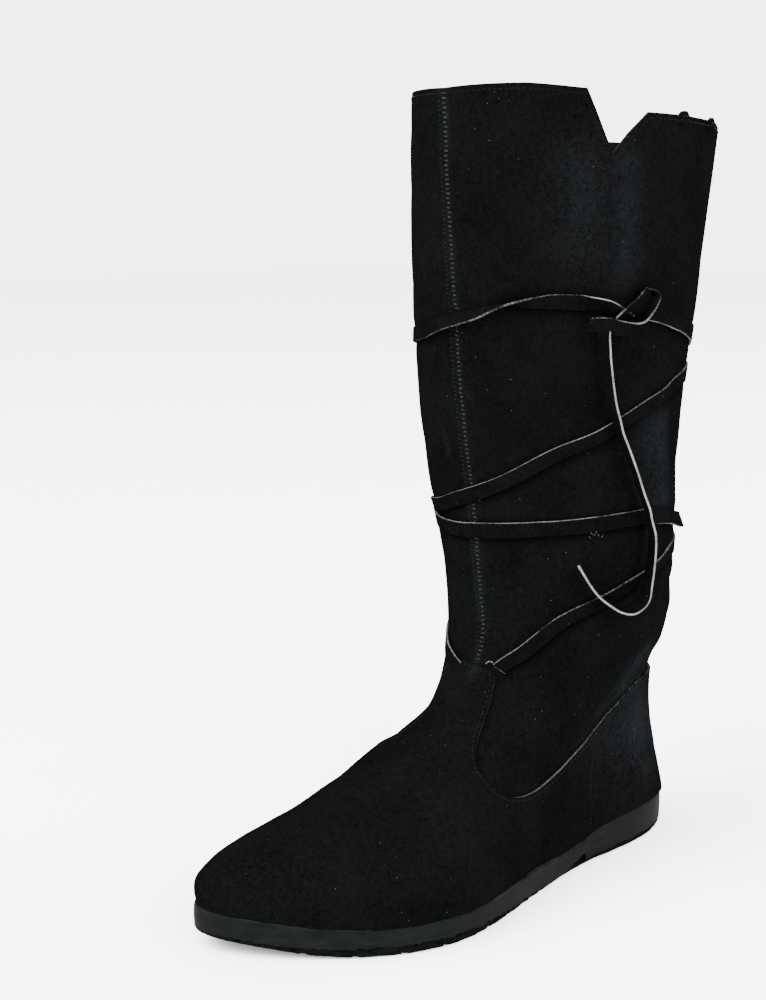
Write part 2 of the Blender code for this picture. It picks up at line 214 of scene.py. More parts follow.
@dataclass(frozen=True)
class Finish:
    """Surface of one real material."""

    name: str
    rough: float = 0.9
    gloss: float = 0.5           # specular level
    bump: float = 0.5            # strength of the raised pattern
    depth_mm: float = 0.2        # height of the raised pattern

    def make(self) -> bpy.types.Material:
        """Make the material, once.

        Returns:
            The material with this finish.
        """
        found = bpy.data.materials.get(self.name)
        if found:
            return found
        material = bpy.data.materials.new(self.name)
        material.use_nodes = True
        tree = material.node_tree
        shader = tree.nodes["Principled BSDF"]
        shader.inputs["Roughness"].default_value = self.rough
        shader.inputs["Specular IOR Level"].default_value = self.gloss
        self.dress(tree, shader)
        return material

    def dress(self, tree: bpy.types.NodeTree, shader: bpy.types.Node) -> None:
        """Draw the material's patterns."""
        raise NotImplementedError

    def feed(self, tree: bpy.types.NodeTree, shader: bpy.types.Node, colour: bpy.types.NodeSocket,
             height: bpy.types.NodeSocket) -> None:
        """Feed the shader with its colour and raise its surface.

        Args:
            tree: Node tree of the material.
            shader: Its shader node.
            colour: Output that holds the colour.
            height: Output that holds the height, from 0 to 1.
        """
        raised = add_node(tree, "ShaderNodeBump", {"Strength": self.bump, "Distance": self.depth_mm * MM},
                          {"Height": height})
        tree.links.new(colour, shader.inputs["Base Color"])
        tree.links.new(raised.outputs[0], shader.inputs["Normal"])


@dataclass(frozen=True)
class SplitHideSuede(Finish):
    """Buffed split hide: short fibres that stand in clouds, brushed lighter or darker, and dust on them."""

    rough: float = 0.95
    gloss: float = 0.0
    bump: float = 0.55
    depth_mm: float = 0.4
    deep: str = "#020202"
    brushed: str = "#090a0b"
    dust: str = "#2e302f"
    cloud_mm: float = 26.0       # patches where the nap lies one way
    tuft_mm: float = 2.6         # tufts of fibre
    fibre_mm: float = 0.9        # fibres are about 0.2 mm, drawn coarser so that they show
    speck_mm: float = 5.0        # distance between dust specks
    speck_share: float = 0.045   # radius of a speck in that distance
    cloud_gain: float = 0.5
    tuft_gain: float = 0.45
    fibre_gain: float = 0.80
    base: float = -0.585
    brush_and_light_gain: float = 3.4      # how much brushing and the painted highlights and shade lighten or darken the fibres
    tuft_height: float = 0.6     # share of the fibres' height

    def dress(self, tree: bpy.types.NodeTree, shader: bpy.types.Node) -> None:
        """Mix the nap's colour from clouds, tufts and fibres, lightened or darkened by brushing and by
        painted highlights and shade, add dust, and raise the fibres.

        Args:
            tree: Node tree of the material.
            shader: Its shader node.
        """
        place = add_node(tree, "ShaderNodeTexCoord").outputs["Object"]
        brush_and_light = add_node(tree, "ShaderNodeAttribute", {"attribute_name": NAP_AND_PAINTED_LIGHT}).outputs["Fac"]
        value = add_node(tree, "ShaderNodeMath", {"operation": "MULTIPLY_ADD", 1: self.brush_and_light_gain, 2: 1.0},
                         {0: brush_and_light}).outputs[0]
        brushing_and_light = add_node(tree, "ShaderNodeMath", {"operation": "MAXIMUM", 1: 0.0}, {0: value}).outputs[0]
        fields, value = [], None
        for size, gain, detail in ((self.cloud_mm, self.cloud_gain, 3.0), (self.tuft_mm, self.tuft_gain, 2.0),
                                   (self.fibre_mm, self.fibre_gain, 2.0)):
            noise = add_node(tree, "ShaderNodeTexNoise", {"Scale": per_metre(size), "Detail": detail},
                             {"Vector": place}).outputs["Fac"]
            fields.append(noise)
            before = {2: value} if value else {}
            value = add_node(tree, "ShaderNodeMath", {"operation": "MULTIPLY_ADD", 1: gain, 2: self.base},
                             {0: noise, **before}).outputs[0]
        standing = add_node(tree, "ShaderNodeMath", {"operation": "MAXIMUM", 1: 0.0}, {0: value}).outputs[0]
        share = add_node(tree, "ShaderNodeMath", {"operation": "MULTIPLY"},
                         {0: standing, 1: brushing_and_light}).outputs[0]
        nap = add_node(tree, "ShaderNodeMix", {"data_type": "RGBA", "clamp_factor": False,
                                               6: linear(self.deep), 7: linear(self.brushed)},
                       {0: share}).outputs[2]
        cell = add_node(tree, "ShaderNodeTexVoronoi", {"Scale": per_metre(self.speck_mm)}, {"Vector": place})
        near = add_node(tree, "ShaderNodeMath", {"operation": "LESS_THAN", 1: self.speck_share},
                        {0: cell.outputs["Distance"]}).outputs[0]
        chance = add_node(tree, "ShaderNodeSeparateColor", links={0: cell.outputs["Color"]}).outputs[0]
        speck = add_node(tree, "ShaderNodeMath", {"operation": "MULTIPLY"}, {0: near, 1: chance}).outputs[0]
        colour = add_node(tree, "ShaderNodeMix", {"data_type": "RGBA", 7: linear(self.dust)},
                          {0: speck, 6: nap}).outputs[2]
        height = add_node(tree, "ShaderNodeMath", {"operation": "MULTIPLY_ADD", 1: self.tuft_height},
                          {0: fields[1], 2: fields[2]}).outputs[0]
        self.feed(tree, shader, colour, height)


@dataclass(frozen=True)
class CutHideEdge(Finish):
    """Knife-cut hide: the undyed grey core of the leather, fibrous, with dye soaked in here and there."""

    gloss: float = 0.0
    bump: float = 0.4
    depth_mm: float = 0.25
    core: str = "#5c5e5c"
    dyed: str = "#323433"
    fibre_mm: float = 1.1
    soak_mm: float = 9.0
    soak_range: tuple = (0.75, 1.35)     # sum of the patterns where the dye starts and is full

    def dress(self, tree: bpy.types.NodeTree, shader: bpy.types.Node) -> None:
        """Blend core and dye by long and short fibres and by how much dye the piece took.

        Args:
            tree: Node tree of the material.
            shader: Its shader node.
        """
        place = add_node(tree, "ShaderNodeTexCoord").outputs["Object"]
        soak, fibre = (add_node(tree, "ShaderNodeTexNoise", {"Scale": per_metre(size), "Detail": detail},
                                {"Vector": place}).outputs["Fac"]
                       for size, detail in ((self.soak_mm, 3.0), (self.fibre_mm, 2.0)))
        dye = add_node(tree, "ShaderNodeAttribute", {"attribute_name": DYE}).outputs["Fac"]
        both = add_node(tree, "ShaderNodeMath", {"operation": "ADD"}, {0: soak, 1: fibre}).outputs[0]
        wet = add_node(tree, "ShaderNodeMath", {"operation": "ADD"}, {0: both, 1: dye}).outputs[0]
        start, full = self.soak_range
        share = add_node(tree, "ShaderNodeMapRange", {"From Min": start, "From Max": full},
                         {"Value": wet}).outputs[0]
        colour = add_node(tree, "ShaderNodeMix", {"data_type": "RGBA", 6: linear(self.core),
                                                  7: linear(self.dyed)}, {0: share}).outputs[2]
        self.feed(tree, shader, colour, fibre)


@dataclass(frozen=True)
class TwistedThread(Finish):
    """Twisted polyester thread: fine slanting ply lines with a dull sheen."""

    rough: float = 0.6
    gloss: float = 0.02
    depth_mm: float = 0.1
    ply: str = "#303231"
    gap: str = "#121313"
    twist_mm: float = 3.3929     # a turn is about 0.5 mm, drawn coarser so that it shows
    wave_turn: float = 10.0      # radians that a slanting wave turns in one unit of its scale

    def dress(self, tree: bpy.types.NodeTree, shader: bpy.types.Node) -> None:
        """Stripe the thread by its twist.

        Args:
            tree: Node tree of the material.
            shader: Its shader node.
        """
        place = add_node(tree, "ShaderNodeTexCoord").outputs["Object"]
        scale = per_metre(self.twist_mm) * 2 * math.pi / self.wave_turn
        wave = add_node(tree, "ShaderNodeTexWave", {"bands_direction": "DIAGONAL", "Distortion": 1.5,
                                                    "Scale": scale}, {"Vector": place}).outputs["Fac"]
        colour = add_node(tree, "ShaderNodeMix", {"data_type": "RGBA", 6: linear(self.gap),
                                                  7: linear(self.ply)}, {0: wave}).outputs[2]
        self.feed(tree, shader, colour, wave)


@dataclass(frozen=True)
class MouldedRubber(Finish):
    """Moulded black rubber: a dull skin with rubbed streaks along it, fine pores, and dust on its ledge."""

    gloss: float = 0.012
    depth_mm: float = 0.25
    ior: float = 1.52
    skin: str = "#050606"
    rubbed: str = "#0b0c0c"
    dust: str = "#3a3c3a"
    streak_mm: float = 14.0
    grain_mm: float = 1.2        # moulding grain is about 0.3 mm, drawn coarser so that it shows
    flatten: float = 5.0         # streaks run along the wall
    ledge_dust: float = 0.12
    streak_range: tuple = (0.35, 0.7)
    ledge_range: tuple = (0.3, 0.95)     # how far a face looks up where dust starts and is full
    rough_range: tuple = (0.55, 0.8)     # in the skin and in the streaks

    def dress(self, tree: bpy.types.NodeTree, shader: bpy.types.Node) -> None:
        """Mix skin and rubbed streaks, lay dust on what faces up, and raise the grain.

        Args:
            tree: Node tree of the material.
            shader: Its shader node.
        """
        place = add_node(tree, "ShaderNodeTexCoord").outputs["Object"]
        flat = add_node(tree, "ShaderNodeMapping", {"Scale": (1.0, 1.0, self.flatten)},
                        {"Vector": place}).outputs[0]
        streak = add_node(tree, "ShaderNodeTexNoise", {"Scale": per_metre(self.streak_mm), "Detail": 5.0,
                                                       "Roughness": 0.65}, {"Vector": flat}).outputs["Fac"]
        grain = add_node(tree, "ShaderNodeTexNoise", {"Scale": per_metre(self.grain_mm), "Detail": 2.0},
                         {"Vector": place}).outputs["Fac"]
        start, full = self.streak_range
        share = add_node(tree, "ShaderNodeMapRange", {"From Min": start, "From Max": full},
                         {"Value": streak}).outputs[0]
        skin = add_node(tree, "ShaderNodeMix", {"data_type": "RGBA", 6: linear(self.skin),
                                                7: linear(self.rubbed)}, {0: share}).outputs[2]
        facing = add_node(tree, "ShaderNodeNewGeometry").outputs["Normal"]
        up = add_node(tree, "ShaderNodeSeparateXYZ", links={0: facing}).outputs["Z"]
        start, full = self.ledge_range
        ledge = add_node(tree, "ShaderNodeMapRange", {"From Min": start, "From Max": full,
                                                      "To Max": self.ledge_dust}, {"Value": up}).outputs[0]
        settled = add_node(tree, "ShaderNodeMath", {"operation": "MULTIPLY"}, {0: ledge, 1: share}).outputs[0]
        colour = add_node(tree, "ShaderNodeMix", {"data_type": "RGBA", 7: linear(self.dust)},
                          {0: settled, 6: skin}).outputs[2]
        smooth, dull = self.rough_range
        rough = add_node(tree, "ShaderNodeMapRange", {"To Min": smooth, "To Max": dull},
                         {"Value": streak}).outputs[0]
        tree.links.new(rough, shader.inputs["Roughness"])
        shader.inputs["IOR"].default_value = self.ior
        self.feed(tree, shader, colour, grain)


@dataclass(frozen=True)
class PressedBoard(Finish):
    """Pressed fibre board under a thin lining: brown flecks in a matt dark sheet."""

    rough: float = 0.85
    bump: float = 0.3
    sheet: str = "#120f0d"
    fleck: str = "#2a231d"
    fleck_mm: float = 2.2
    fleck_range: tuple = (0.45, 0.75)

    def dress(self, tree: bpy.types.NodeTree, shader: bpy.types.Node) -> None:
        """Scatter flecks over the sheet.

        Args:
            tree: Node tree of the material.
            shader: Its shader node.
        """
        place = add_node(tree, "ShaderNodeTexCoord").outputs["Object"]
        noise = add_node(tree, "ShaderNodeTexNoise", {"Scale": per_metre(self.fleck_mm), "Detail": 4.0},
                         {"Vector": place}).outputs["Fac"]
        start, full = self.fleck_range
        share = add_node(tree, "ShaderNodeMapRange", {"From Min": start, "From Max": full},
                         {"Value": noise}).outputs[0]
        colour = add_node(tree, "ShaderNodeMix", {"data_type": "RGBA", 6: linear(self.sheet),
                                                  7: linear(self.fleck)}, {0: share}).outputs[2]
        self.feed(tree, shader, colour, noise)


@dataclass(frozen=True)
class PaintedFloor(Finish):
    """Matt white painted board: an even pale field with hardly a trace of the roller."""

    paint: str = "#f6f6f5"
    shade: str = "#f1f1f0"
    roller_mm: float = 60.0

    def dress(self, tree: bpy.types.NodeTree, shader: bpy.types.Node) -> None:
        """Vary the paint a little.

        Args:
            tree: Node tree of the material.
            shader: Its shader node.
        """
        place = add_node(tree, "ShaderNodeTexCoord").outputs["Object"]
        noise = add_node(tree, "ShaderNodeTexNoise", {"Scale": per_metre(self.roller_mm)},
                         {"Vector": place}).outputs["Fac"]
        colour = add_node(tree, "ShaderNodeMix", {"data_type": "RGBA", 6: linear(self.paint),
                                                  7: linear(self.shade)}, {0: noise}).outputs[2]
        tree.links.new(colour, shader.inputs["Base Color"])


SUEDE = SplitHideSuede("split-hide suede")
FLESH_SIDE = SplitHideSuede("flesh side of the hide", deep="#040404", brushed="#101111")
LACE_SUEDE = SplitHideSuede("cut lace suede", cloud_mm=14.0)
CUT_EDGE = CutHideEdge("cut hide edge")
LACE_EDGE = CutHideEdge("rubbed lace edge", core="#454745", dyed="#0c0c0c")
PANEL_EDGE = CutHideEdge("cut panel edge", core="#3a3c3a", dyed="#0b0c0c")
HEM_EDGE = CutHideEdge("turned hem edge", core="#1c1d1d", dyed="#090a0a")
SEAM_THREAD = TwistedThread("seam thread", ply="#1a1c1b", gap="#0a0b0b")
PANEL_THREAD = TwistedThread("panel thread", ply="#0b0c0c", gap="#060606")
DARK_THREAD = TwistedThread("dark lining thread", ply="#070808", gap="#040404")
WALL_RUBBER = MouldedRubber("moulded rubber wall")
# darker than the wall: the tread's own worn rubber, darkened further as painted shade along the bottom of the
# sole
TREAD_RUBBER_AND_SHADE = MouldedRubber("worn tread rubber", skin="#020303", rubbed="#090a0a", streak_mm=4.0,
                             flatten=1.5, depth_mm=0.6, ledge_dust=0.0, gloss=0.0)
INSOLE_BOARD = PressedBoard("pressed insole board")
FLOOR_PAINT = PaintedFloor("matt floor paint")


# ---------------------------------------------------------------- the boot's surface


@dataclass(frozen=True)
class Fold:
    """Soft ridge, or trough where the height is below zero, along a line on the leather."""

    path: Rows            # share of the way round, ring number
    width: float
    height: float


@dataclass(frozen=True)
class NapAndPaintedLightPatch:
    """Place where the nap is brushed lighter, or darker where the gain is below zero; some stand for painted
    highlights on ridges and one for painted shade in a crease.
    """

    path: Rows
    width: float
    gain: float


# Front seam from the vamp up to the collar: share of the way round, ring number
SEAM = ((0.0245, 7.05), (0.0186, 7.48), (0.0131, 7.78), (0.0050, 8.06), (0.0030, 8.78), (0.0050, 9.50),
        (0.0030, 10.11), (0.0035, 10.77), (0.0013, 11.35), (-0.0008, 12.30))


def beside_seam(shift: float) -> Rows:
    """The front seam moved sideways by a share of the way round."""
    return tuple((u + shift, v) for u, v in SEAM)


# Middle lines of the two wound strands: share of the way round, ring number
STRAND_A = (
    (0.0690, 7.142), (0.0735, 7.178), (0.0840, 7.262), (0.0965, 7.370), (0.1245, 7.685), (0.1641, 7.885),
    (0.2382, 8.065), (0.28, 8.13), (0.3054, 8.165), (0.33, 8.17), (0.37, 8.15), (0.43, 8.11), (0.50, 8.10),
    (0.62, 8.42), (0.75, 8.75),
    (0.9082, 9.035), (0.9660, 9.173), (1.0226, 9.337), (1.0774, 9.54), (1.125, 9.732), (1.1722, 9.862),
    (1.2247, 10.035), (1.2771, 10.16), (1.3172, 10.23), (1.50, 10.33), (1.75, 10.41), (1.9241, 10.535),
    (1.9618, 10.583), (2.0065, 10.656), (2.0400, 10.704), (2.0657, 10.754), (2.0873, 10.769),
    (2.1167, 10.782), (2.1391, 10.780), (2.1579, 10.775), (2.1686, 10.770), (2.1752, 10.762),
    (2.1820, 10.743), (2.1899, 10.714), (2.2001, 10.674),
)
STRAND_B = (
    (-0.022, 7.08), (-0.034, 7.11), (-0.054, 7.13), (-0.0774, 7.135), (-0.105, 7.135), (-0.14, 7.16),
    (-0.18, 7.27), (-0.25, 7.62), (-0.32, 7.84),
    (-0.50, 8.18), (-0.664, 8.68), (-0.707, 8.86), (-0.7432, 8.955), (-0.8007, 8.985), (-0.8529, 8.98),
    (-0.9017, 8.965), (-0.9538, 8.932), (-1.0208, 8.877), (-1.0768, 8.835), (-1.12, 8.83), (-1.16, 8.87),
    (-1.22, 9.12), (-1.29, 9.52), (-1.50, 10.24), (-1.6941, 10.598), (-1.7376, 10.664), (-1.7627, 10.705),
    (-1.7771, 10.725), (-1.784, 10.735),
)


def both_sides(*folds: Fold) -> tuple[Fold, ...]:
    """Folds of the outer side, then their mirror images on the inner side."""
    return (*folds, *(Fold([(1.0 - u, v) for u, v in fold.path], fold.width, fold.height) for fold in folds))


FOLDS = (
    # leather pressed in under the strands
    Fold(STRAND_A, 4.4, -0.9),
    Fold(STRAND_B, 4.4, -0.9),
    *both_sides(
        # shaft leather rolling over the counter
        Fold(((0.326, 3.78), (0.338, 4.08), (0.348, 4.35), (0.354, 4.70), (0.372, 4.98), (0.410, 5.05)),
             4.6, 2.0),
        # ankle creases
        Fold(((0.27, 7.25), (0.34, 6.9), (0.42, 6.75)), 7.0, -1.5),
        Fold(((0.26, 6.55), (0.33, 6.15), (0.42, 6.05)), 8.0, 1.3),
        # flex of the vamp behind the toes
        Fold(((0.03, 5.5), (0.09, 4.8), (0.14, 3.6)), 7.0, -0.8),
        Fold(((0.15, 2.9), (0.18, 2.2), (0.20, 1.4)), 8.0, -0.8),
    ),
    # the roll and the ankle crease round the back
    Fold(((0.390, 5.02), (0.450, 5.10), (0.500, 5.10), (0.550, 5.10), (0.610, 5.02)), 7.0, 1.6),
    Fold(((0.44, 6.55), (0.50, 6.45), (0.56, 6.55)), 7.0, -1.3),
    # pinch of the front seam and the two lips beside it
    Fold(SEAM, 1.5, -0.75),
    Fold(beside_seam(0.010), 2.6, 0.40),
    Fold(beside_seam(-0.010), 2.6, 0.40),
    # soft bands below the notch
    Fold(((0.160, 11.75), (0.163, 11.3), (0.166, 10.85)), 7.0, 0.9),
    Fold(((0.1826, 11.62), (0.186, 11.2), (0.188, 10.85)), 4.5, -0.9),
    Fold(((0.206, 11.75), (0.208, 11.3), (0.210, 10.85)), 7.0, 1.0),
    # slack of the shaft between the windings
    Fold(((0.262, 10.15), (0.272, 9.75), (0.283, 9.35)), 7.0, 1.3),
    Fold(((0.236, 10.05), (0.246, 9.7), (0.257, 9.35)), 6.0, -0.9),
    Fold(((0.30, 10.1), (0.32, 9.6), (0.33, 9.2)), 9.0, -1.3),
    Fold(((0.08, 8.55), (0.14, 8.45), (0.20, 8.5)), 9.0, 1.0),
    Fold(((-0.02, 8.35), (-0.07, 8.3), (-0.13, 8.4)), 6.0, -1.1),
    Fold(((-0.01, 7.95), (-0.06, 7.85), (-0.11, 7.95)), 6.0, 1.1),
    Fold(((0.40, 9.1), (0.46, 8.8), (0.52, 8.75)), 9.0, -1.6),
    Fold(((0.42, 8.55), (0.48, 8.35), (0.56, 8.4)), 8.0, 1.4),
    Fold(((0.60, 9.6), (0.66, 9.3), (0.72, 9.2)), 9.0, -1.5),
    Fold(((0.62, 9.9), (0.68, 9.7), (0.74, 9.75)), 9.0, 1.3),
    Fold(((0.72, 8.2), (0.78, 8.0), (0.86, 8.1)), 8.0, -1.3),
    # swell between the flex folds, and the toe box softened by wear
    Fold(((0.02, 5.05), (0.08, 4.3), (0.13, 3.1)), 7.0, 0.7),
    Fold(((0.03, 2.6), (0.05, 2.0), (0.09, 1.6)), 9.0, -0.7),
    Fold(((-0.02, 2.9), (0.0, 2.5), (0.03, 2.3)), 9.0, 0.6),
)

NAP_AND_PAINTED_LIGHT_PATCHES = (
    # lighter bands below the notch, partly brushed nap and partly painted highlight on the soft ridges, and
    # painted shade in the crease between them
    NapAndPaintedLightPatch(((0.150, 11.55), (0.158, 11.15)), 15.0, 0.40),
    NapAndPaintedLightPatch(((0.196, 11.60), (0.201, 10.95)), 8.0, 0.40),
    # painted shade in the crease between the two ridges
    NapAndPaintedLightPatch(((0.1826, 11.5), (0.187, 10.95)), 4.0, -0.10),
    NapAndPaintedLightPatch(((0.06, 11.4), (0.08, 10.9)), 18.0, -0.05),
    # partly brushed nap, partly painted highlight along the ridge of the slack between the windings
    NapAndPaintedLightPatch(((0.258, 9.90), (0.272, 9.55), (0.285, 9.15)), 9.0, 0.52),
    NapAndPaintedLightPatch(((0.240, 9.70), (0.260, 9.15)), 8.0, 0.28),
    # shaft and counter at the back of the ankle, and a painted highlight along the ridge where the shaft
    # rolls over
    NapAndPaintedLightPatch(((0.345, 5.0), (0.383, 3.27), (0.395, 2.5)), 17.0, 0.43),
    NapAndPaintedLightPatch(((0.36, 2.6), (0.40, 1.4)), 22.0, 0.55),
    NapAndPaintedLightPatch(((0.05, 9.85), (0.13, 10.25)), 20.0, -0.06),
    # painted highlight on the crest of the roll
    NapAndPaintedLightPatch(((0.356, 5.38), (0.3425, 4.98), (0.337, 4.55), (0.3365, 4.2), (0.328, 4.0), (0.315, 3.84)),
             1.7, 0.34),
    # vamp, toe, front seam and scuffs
    NapAndPaintedLightPatch(((0.055, 4.9), (0.107, 4.63), (0.14, 3.4), (0.178, 2.5)), 14.0, 0.05),
    NapAndPaintedLightPatch(((0.05, 2.4), (0.10, 1.6)), 14.0, 0.06),
    NapAndPaintedLightPatch(SEAM, 2.6, 0.30),
    NapAndPaintedLightPatch(SEAM[:6], 3.8, 0.14),
    NapAndPaintedLightPatch(((-0.036, 9.80), (-0.030, 9.72), (-0.033, 9.64)), 1.4, 0.5),
    NapAndPaintedLightPatch(((-0.040, 9.92), (-0.034, 9.84)), 1.3, 0.3),
    NapAndPaintedLightPatch(((0.012, 10.18), (0.019, 10.12)), 1.4, 0.3),
)


@dataclass(frozen=True)
class BootForm:
    """Ring surface of the upper, the line of the sole and the edges of the leather pieces."""

    heel_rest: float = 38.0  # where distances f from the heel back start, toward the toe
    # ends of a ring along the foot and their heights, half widths, how much it follows the sole, sideways
    ring_columns: tuple = ("front_f", "front_z", "back_f", "back_z", "heel_tip", "heel", "waist", "ball",
                           "toe", "tip", "follow", "shift")
    rings: Rows = (
        (282.0, 19.0, 5.0, 16.8, 54.5, 43.2, 35.0, 54.2, 51.0, 41.0, 1.0, 0.0),
        (282.0, 29.0, 9.6, 34.0, 52.5, 44.0, 36.5, 55.5, 52.0, 41.5, 0.7, 0.0),
        (274.0, 34.5, 13.9, 53.0, 49.5, 42.6, 37.0, 47.0, 43.0, 34.0, 0.3, 0.0),
        (256.0, 38.5, 16.0, 71.0, 46.5, 39.6, 36.5, 40.5, 36.5, 28.5, 0.0, 0.0),
        (231.0, 46.0, 13.4, 88.0, 45.0, 37.2, 36.5, 38.5, 34.5, 27.0, 0.0, 0.0),
        (202.0, 55.5, 7.2, 104.0, 46.5, 38.8, 37.5, 35.5, 31.5, 25.5, 0.0, 0.5),
        (167.5, 72.0, 5.6, 120.0, 49.0, 42.0, 40.5, 35.0, 30.5, 25.5, 0.0, 1.0),
        (143.5, 97.5, 9.2, 136.0, 51.0, 47.5, 45.5, 44.0, 39.0, 34.0, 0.0, 0.5),
        (131.5, 130.0, 15.8, 153.0, 56.0, 55.0, 53.5, 54.0, 51.5, 48.5, 0.0, -1.0),
        (134.0, 170.0, 17.6, 178.0, 60.0, 60.0, 60.0, 59.0, 58.0, 57.0, 0.0, -3.5),
        (141.0, 220.0, 14.0, 220.0, 63.0, 63.0, 63.0, 63.0, 63.0, 63.0, 0.0, -5.0),
        (151.3, 290.0, 2.6, 285.0, 64.2, 64.2, 64.2, 64.2, 64.2, 64.2, 0.0, -3.0),
        (158.7, 366.0, -9.0, 350.0, 62.0, 62.0, 62.0, 62.0, 62.0, 62.0, 0.0, 0.0),
    )
    width_columns: tuple = ("heel_tip", "heel", "waist", "ball", "toe", "tip")
    width_stations: tuple = (0.0, 0.15, 0.42, 0.70, 0.90, 1.0)   # shares of the ring's length
    centre_line: Rows = ((-20.0, 0.0), (40.0, -0.5), (118.0, 1.0), (197.0, 3.0), (248.0, -6.0),
                         (285.0, -16.0))
    sole_line: Rows = (      # distance from the heel back, top, underside, height of the tread layer
        (-3.0, 16.8, 1.0, 3.0), (5.0, 16.8, 0.0, 3.0), (64.0, 16.6, 0.0, 3.0), (78.0, 14.8, 0.0, 2.8),
        (90.0, 12.2, 0.0, 2.5), (91.0, 12.0, 0.0, 5.8), (96.0, 10.8, 0.0, 5.2), (106.0, 9.9, 0.0, 1.6),
        (112.0, 9.8, 0.0, 1.5), (132.0, 11.0, 0.0, 1.7), (150.0, 12.0, 0.0, 2.4), (185.0, 12.3, 0.0, 3.8),
        (225.0, 12.0, 0.0, 4.5), (242.0, 13.0, 0.4, 4.0), (256.0, 14.3, 1.9, 3.0), (288.0, 19.8, 8.6, 1.6),
    )
    edge_rows: Rows = (      # upper edge of vamp and counter on one side
        (0.0, 7.22), (0.040, 7.16), (0.073, 6.88), (0.091, 6.30), (0.128, 5.42), (0.187, 4.05),
        (0.222, 3.10), (0.245, 2.61), (0.262, 2.52), (0.283, 2.70), (0.308, 3.09), (0.335, 3.61),
        (0.360, 3.81), (0.385, 3.86), (0.412, 3.77), (0.500, 3.70),
    )
    collar_rows: Rows = (    # top edge of the shaft with its notch
        (0.0, 11.98), (0.05, 12.0), (0.10, 12.02), (0.156, 12.02), (0.1826, 11.66), (0.20, 11.79),
        (0.222, 11.93), (0.262, 11.945), (0.266, 11.977), (0.274, 11.977), (0.278, 11.95), (0.322, 11.96),
        (0.327, 11.985), (0.336, 11.985), (0.341, 11.96), (0.42, 11.945), (0.56, 11.88), (0.60, 11.88),
        (0.70, 12.0), (1.0, 11.98),
    )
    notch: tuple = (0.156, 0.1826, 0.222)
    seat_gap: float = 0.3
    folds: tuple = FOLDS
    patches: tuple = NAP_AND_PAINTED_LIGHT_PATCHES
    waves: Rows = ((47.0, 0.30), (29.0, 0.20), (17.0, 0.10))     # unevenness of the hide: length, height
    step: float = 0.0005     # share of the way round over which slopes are measured
    ring_step: float = 0.002

    def sole(self, f: Any, column: int) -> np.ndarray:
        """A height of the sole at distances from the heel back: 1 top, 2 underside, 3 tread layer."""
        rows = np.array(self.sole_line)
        return np.interp(f, rows[:, 0], rows[:, column])

    def surface(self, u: Any, v: Any) -> np.ndarray:
        """Points of the smooth ring surface.

        Args:
            u: Shares of the way round from the toe.
            v: Ring numbers.

        Returns:
            Points, outer side, toward the heel and up.
        """
        rings = np.array(self.rings)
        u, v = np.broadcast_arrays(np.asarray(u, float), np.asarray(v, float))
        columns = np.moveaxis(spline(np.arange(len(rings)), rings, v), -1, 0)
        at = dict(zip(self.ring_columns, columns))
        foot = dict(zip(self.ring_columns, rings[0]))
        share = (1 + np.cos(2 * np.pi * u)) / 2
        blend = spline(self.width_stations, np.eye(len(self.width_stations)), share)
        half = sum(blend[..., i] * at[name] for i, name in enumerate(self.width_columns))
        f = at["back_f"] + (at["front_f"] - at["back_f"]) * share
        flat = foot["back_z"] + (foot["front_z"] - foot["back_z"]) * share
        z = at["back_z"] + (at["front_z"] - at["back_z"]) * share + at["follow"] * (self.sole(f, 1) - flat)
        line = np.array(self.centre_line)
        side = spline(line[:, 0], line[:, 1], f) + at["shift"] + np.sin(2 * np.pi * u) * half
        return np.stack([side, self.heel_rest - f, z], -1)

    def slopes(self, u: Any, v: Any) -> tuple[np.ndarray, np.ndarray]:
        """Change of the surface with u and with v.

        Args:
            u: Shares of the way round.
            v: Ring numbers.

        Returns:
            Vectors along the ring and up the leather.
        """
        u, v, du, dv = np.asarray(u, float), np.asarray(v, float), self.step, self.ring_step
        along = (self.surface(u + du, v) - self.surface(u - du, v)) / (2 * du)
        up = (self.surface(u, v + dv) - self.surface(u, v - dv)) / (2 * dv)
        return along, up

    def normal(self, u: Any, v: Any) -> np.ndarray:
        """Unit normals of the ring surface, outward."""
        return unit(np.cross(*self.slopes(u, v)))

    def from_line(self, points: np.ndarray, path: Rows, width: float) -> tuple[np.ndarray, np.ndarray]:
        """How strongly a soft line on the leather acts at points.

        Args:
            points: Points of the ring surface.
            path: The line's places, share of the way round and ring number.
            width: Half width where its strength falls to a third.

        Returns:
            Strengths from 0 to 1, and the shares of the line at the nearest places.
        """
        line = self.surface(*drawn_through(path, max(15, 4 * len(path))).T)
        flat = points.reshape(-1, 3)
        strength, along = np.zeros(len(flat)), np.zeros(len(flat))
        inside = np.all((flat > line.min(0) - 3 * width) & (flat < line.max(0) + 3 * width), axis=1)
        near = flat[inside]
        best, share = np.full(len(near), np.inf), np.zeros(len(near))
        for i, (start, stop) in enumerate(zip(line[:-1], line[1:])):
            span = stop - start
            t = np.clip(((near - start) @ span) / (span @ span), 0.0, 1.0)
            gap = np.linalg.norm(near - start - t[:, None] * span, axis=1)
            closer = gap < best
            best[closer], share[closer] = gap[closer], (i + t[closer]) / (len(line) - 1)
        strength[inside], along[inside] = np.exp(-(best / width) ** 2), share
        return strength.reshape(points.shape[:-1]), along.reshape(points.shape[:-1])

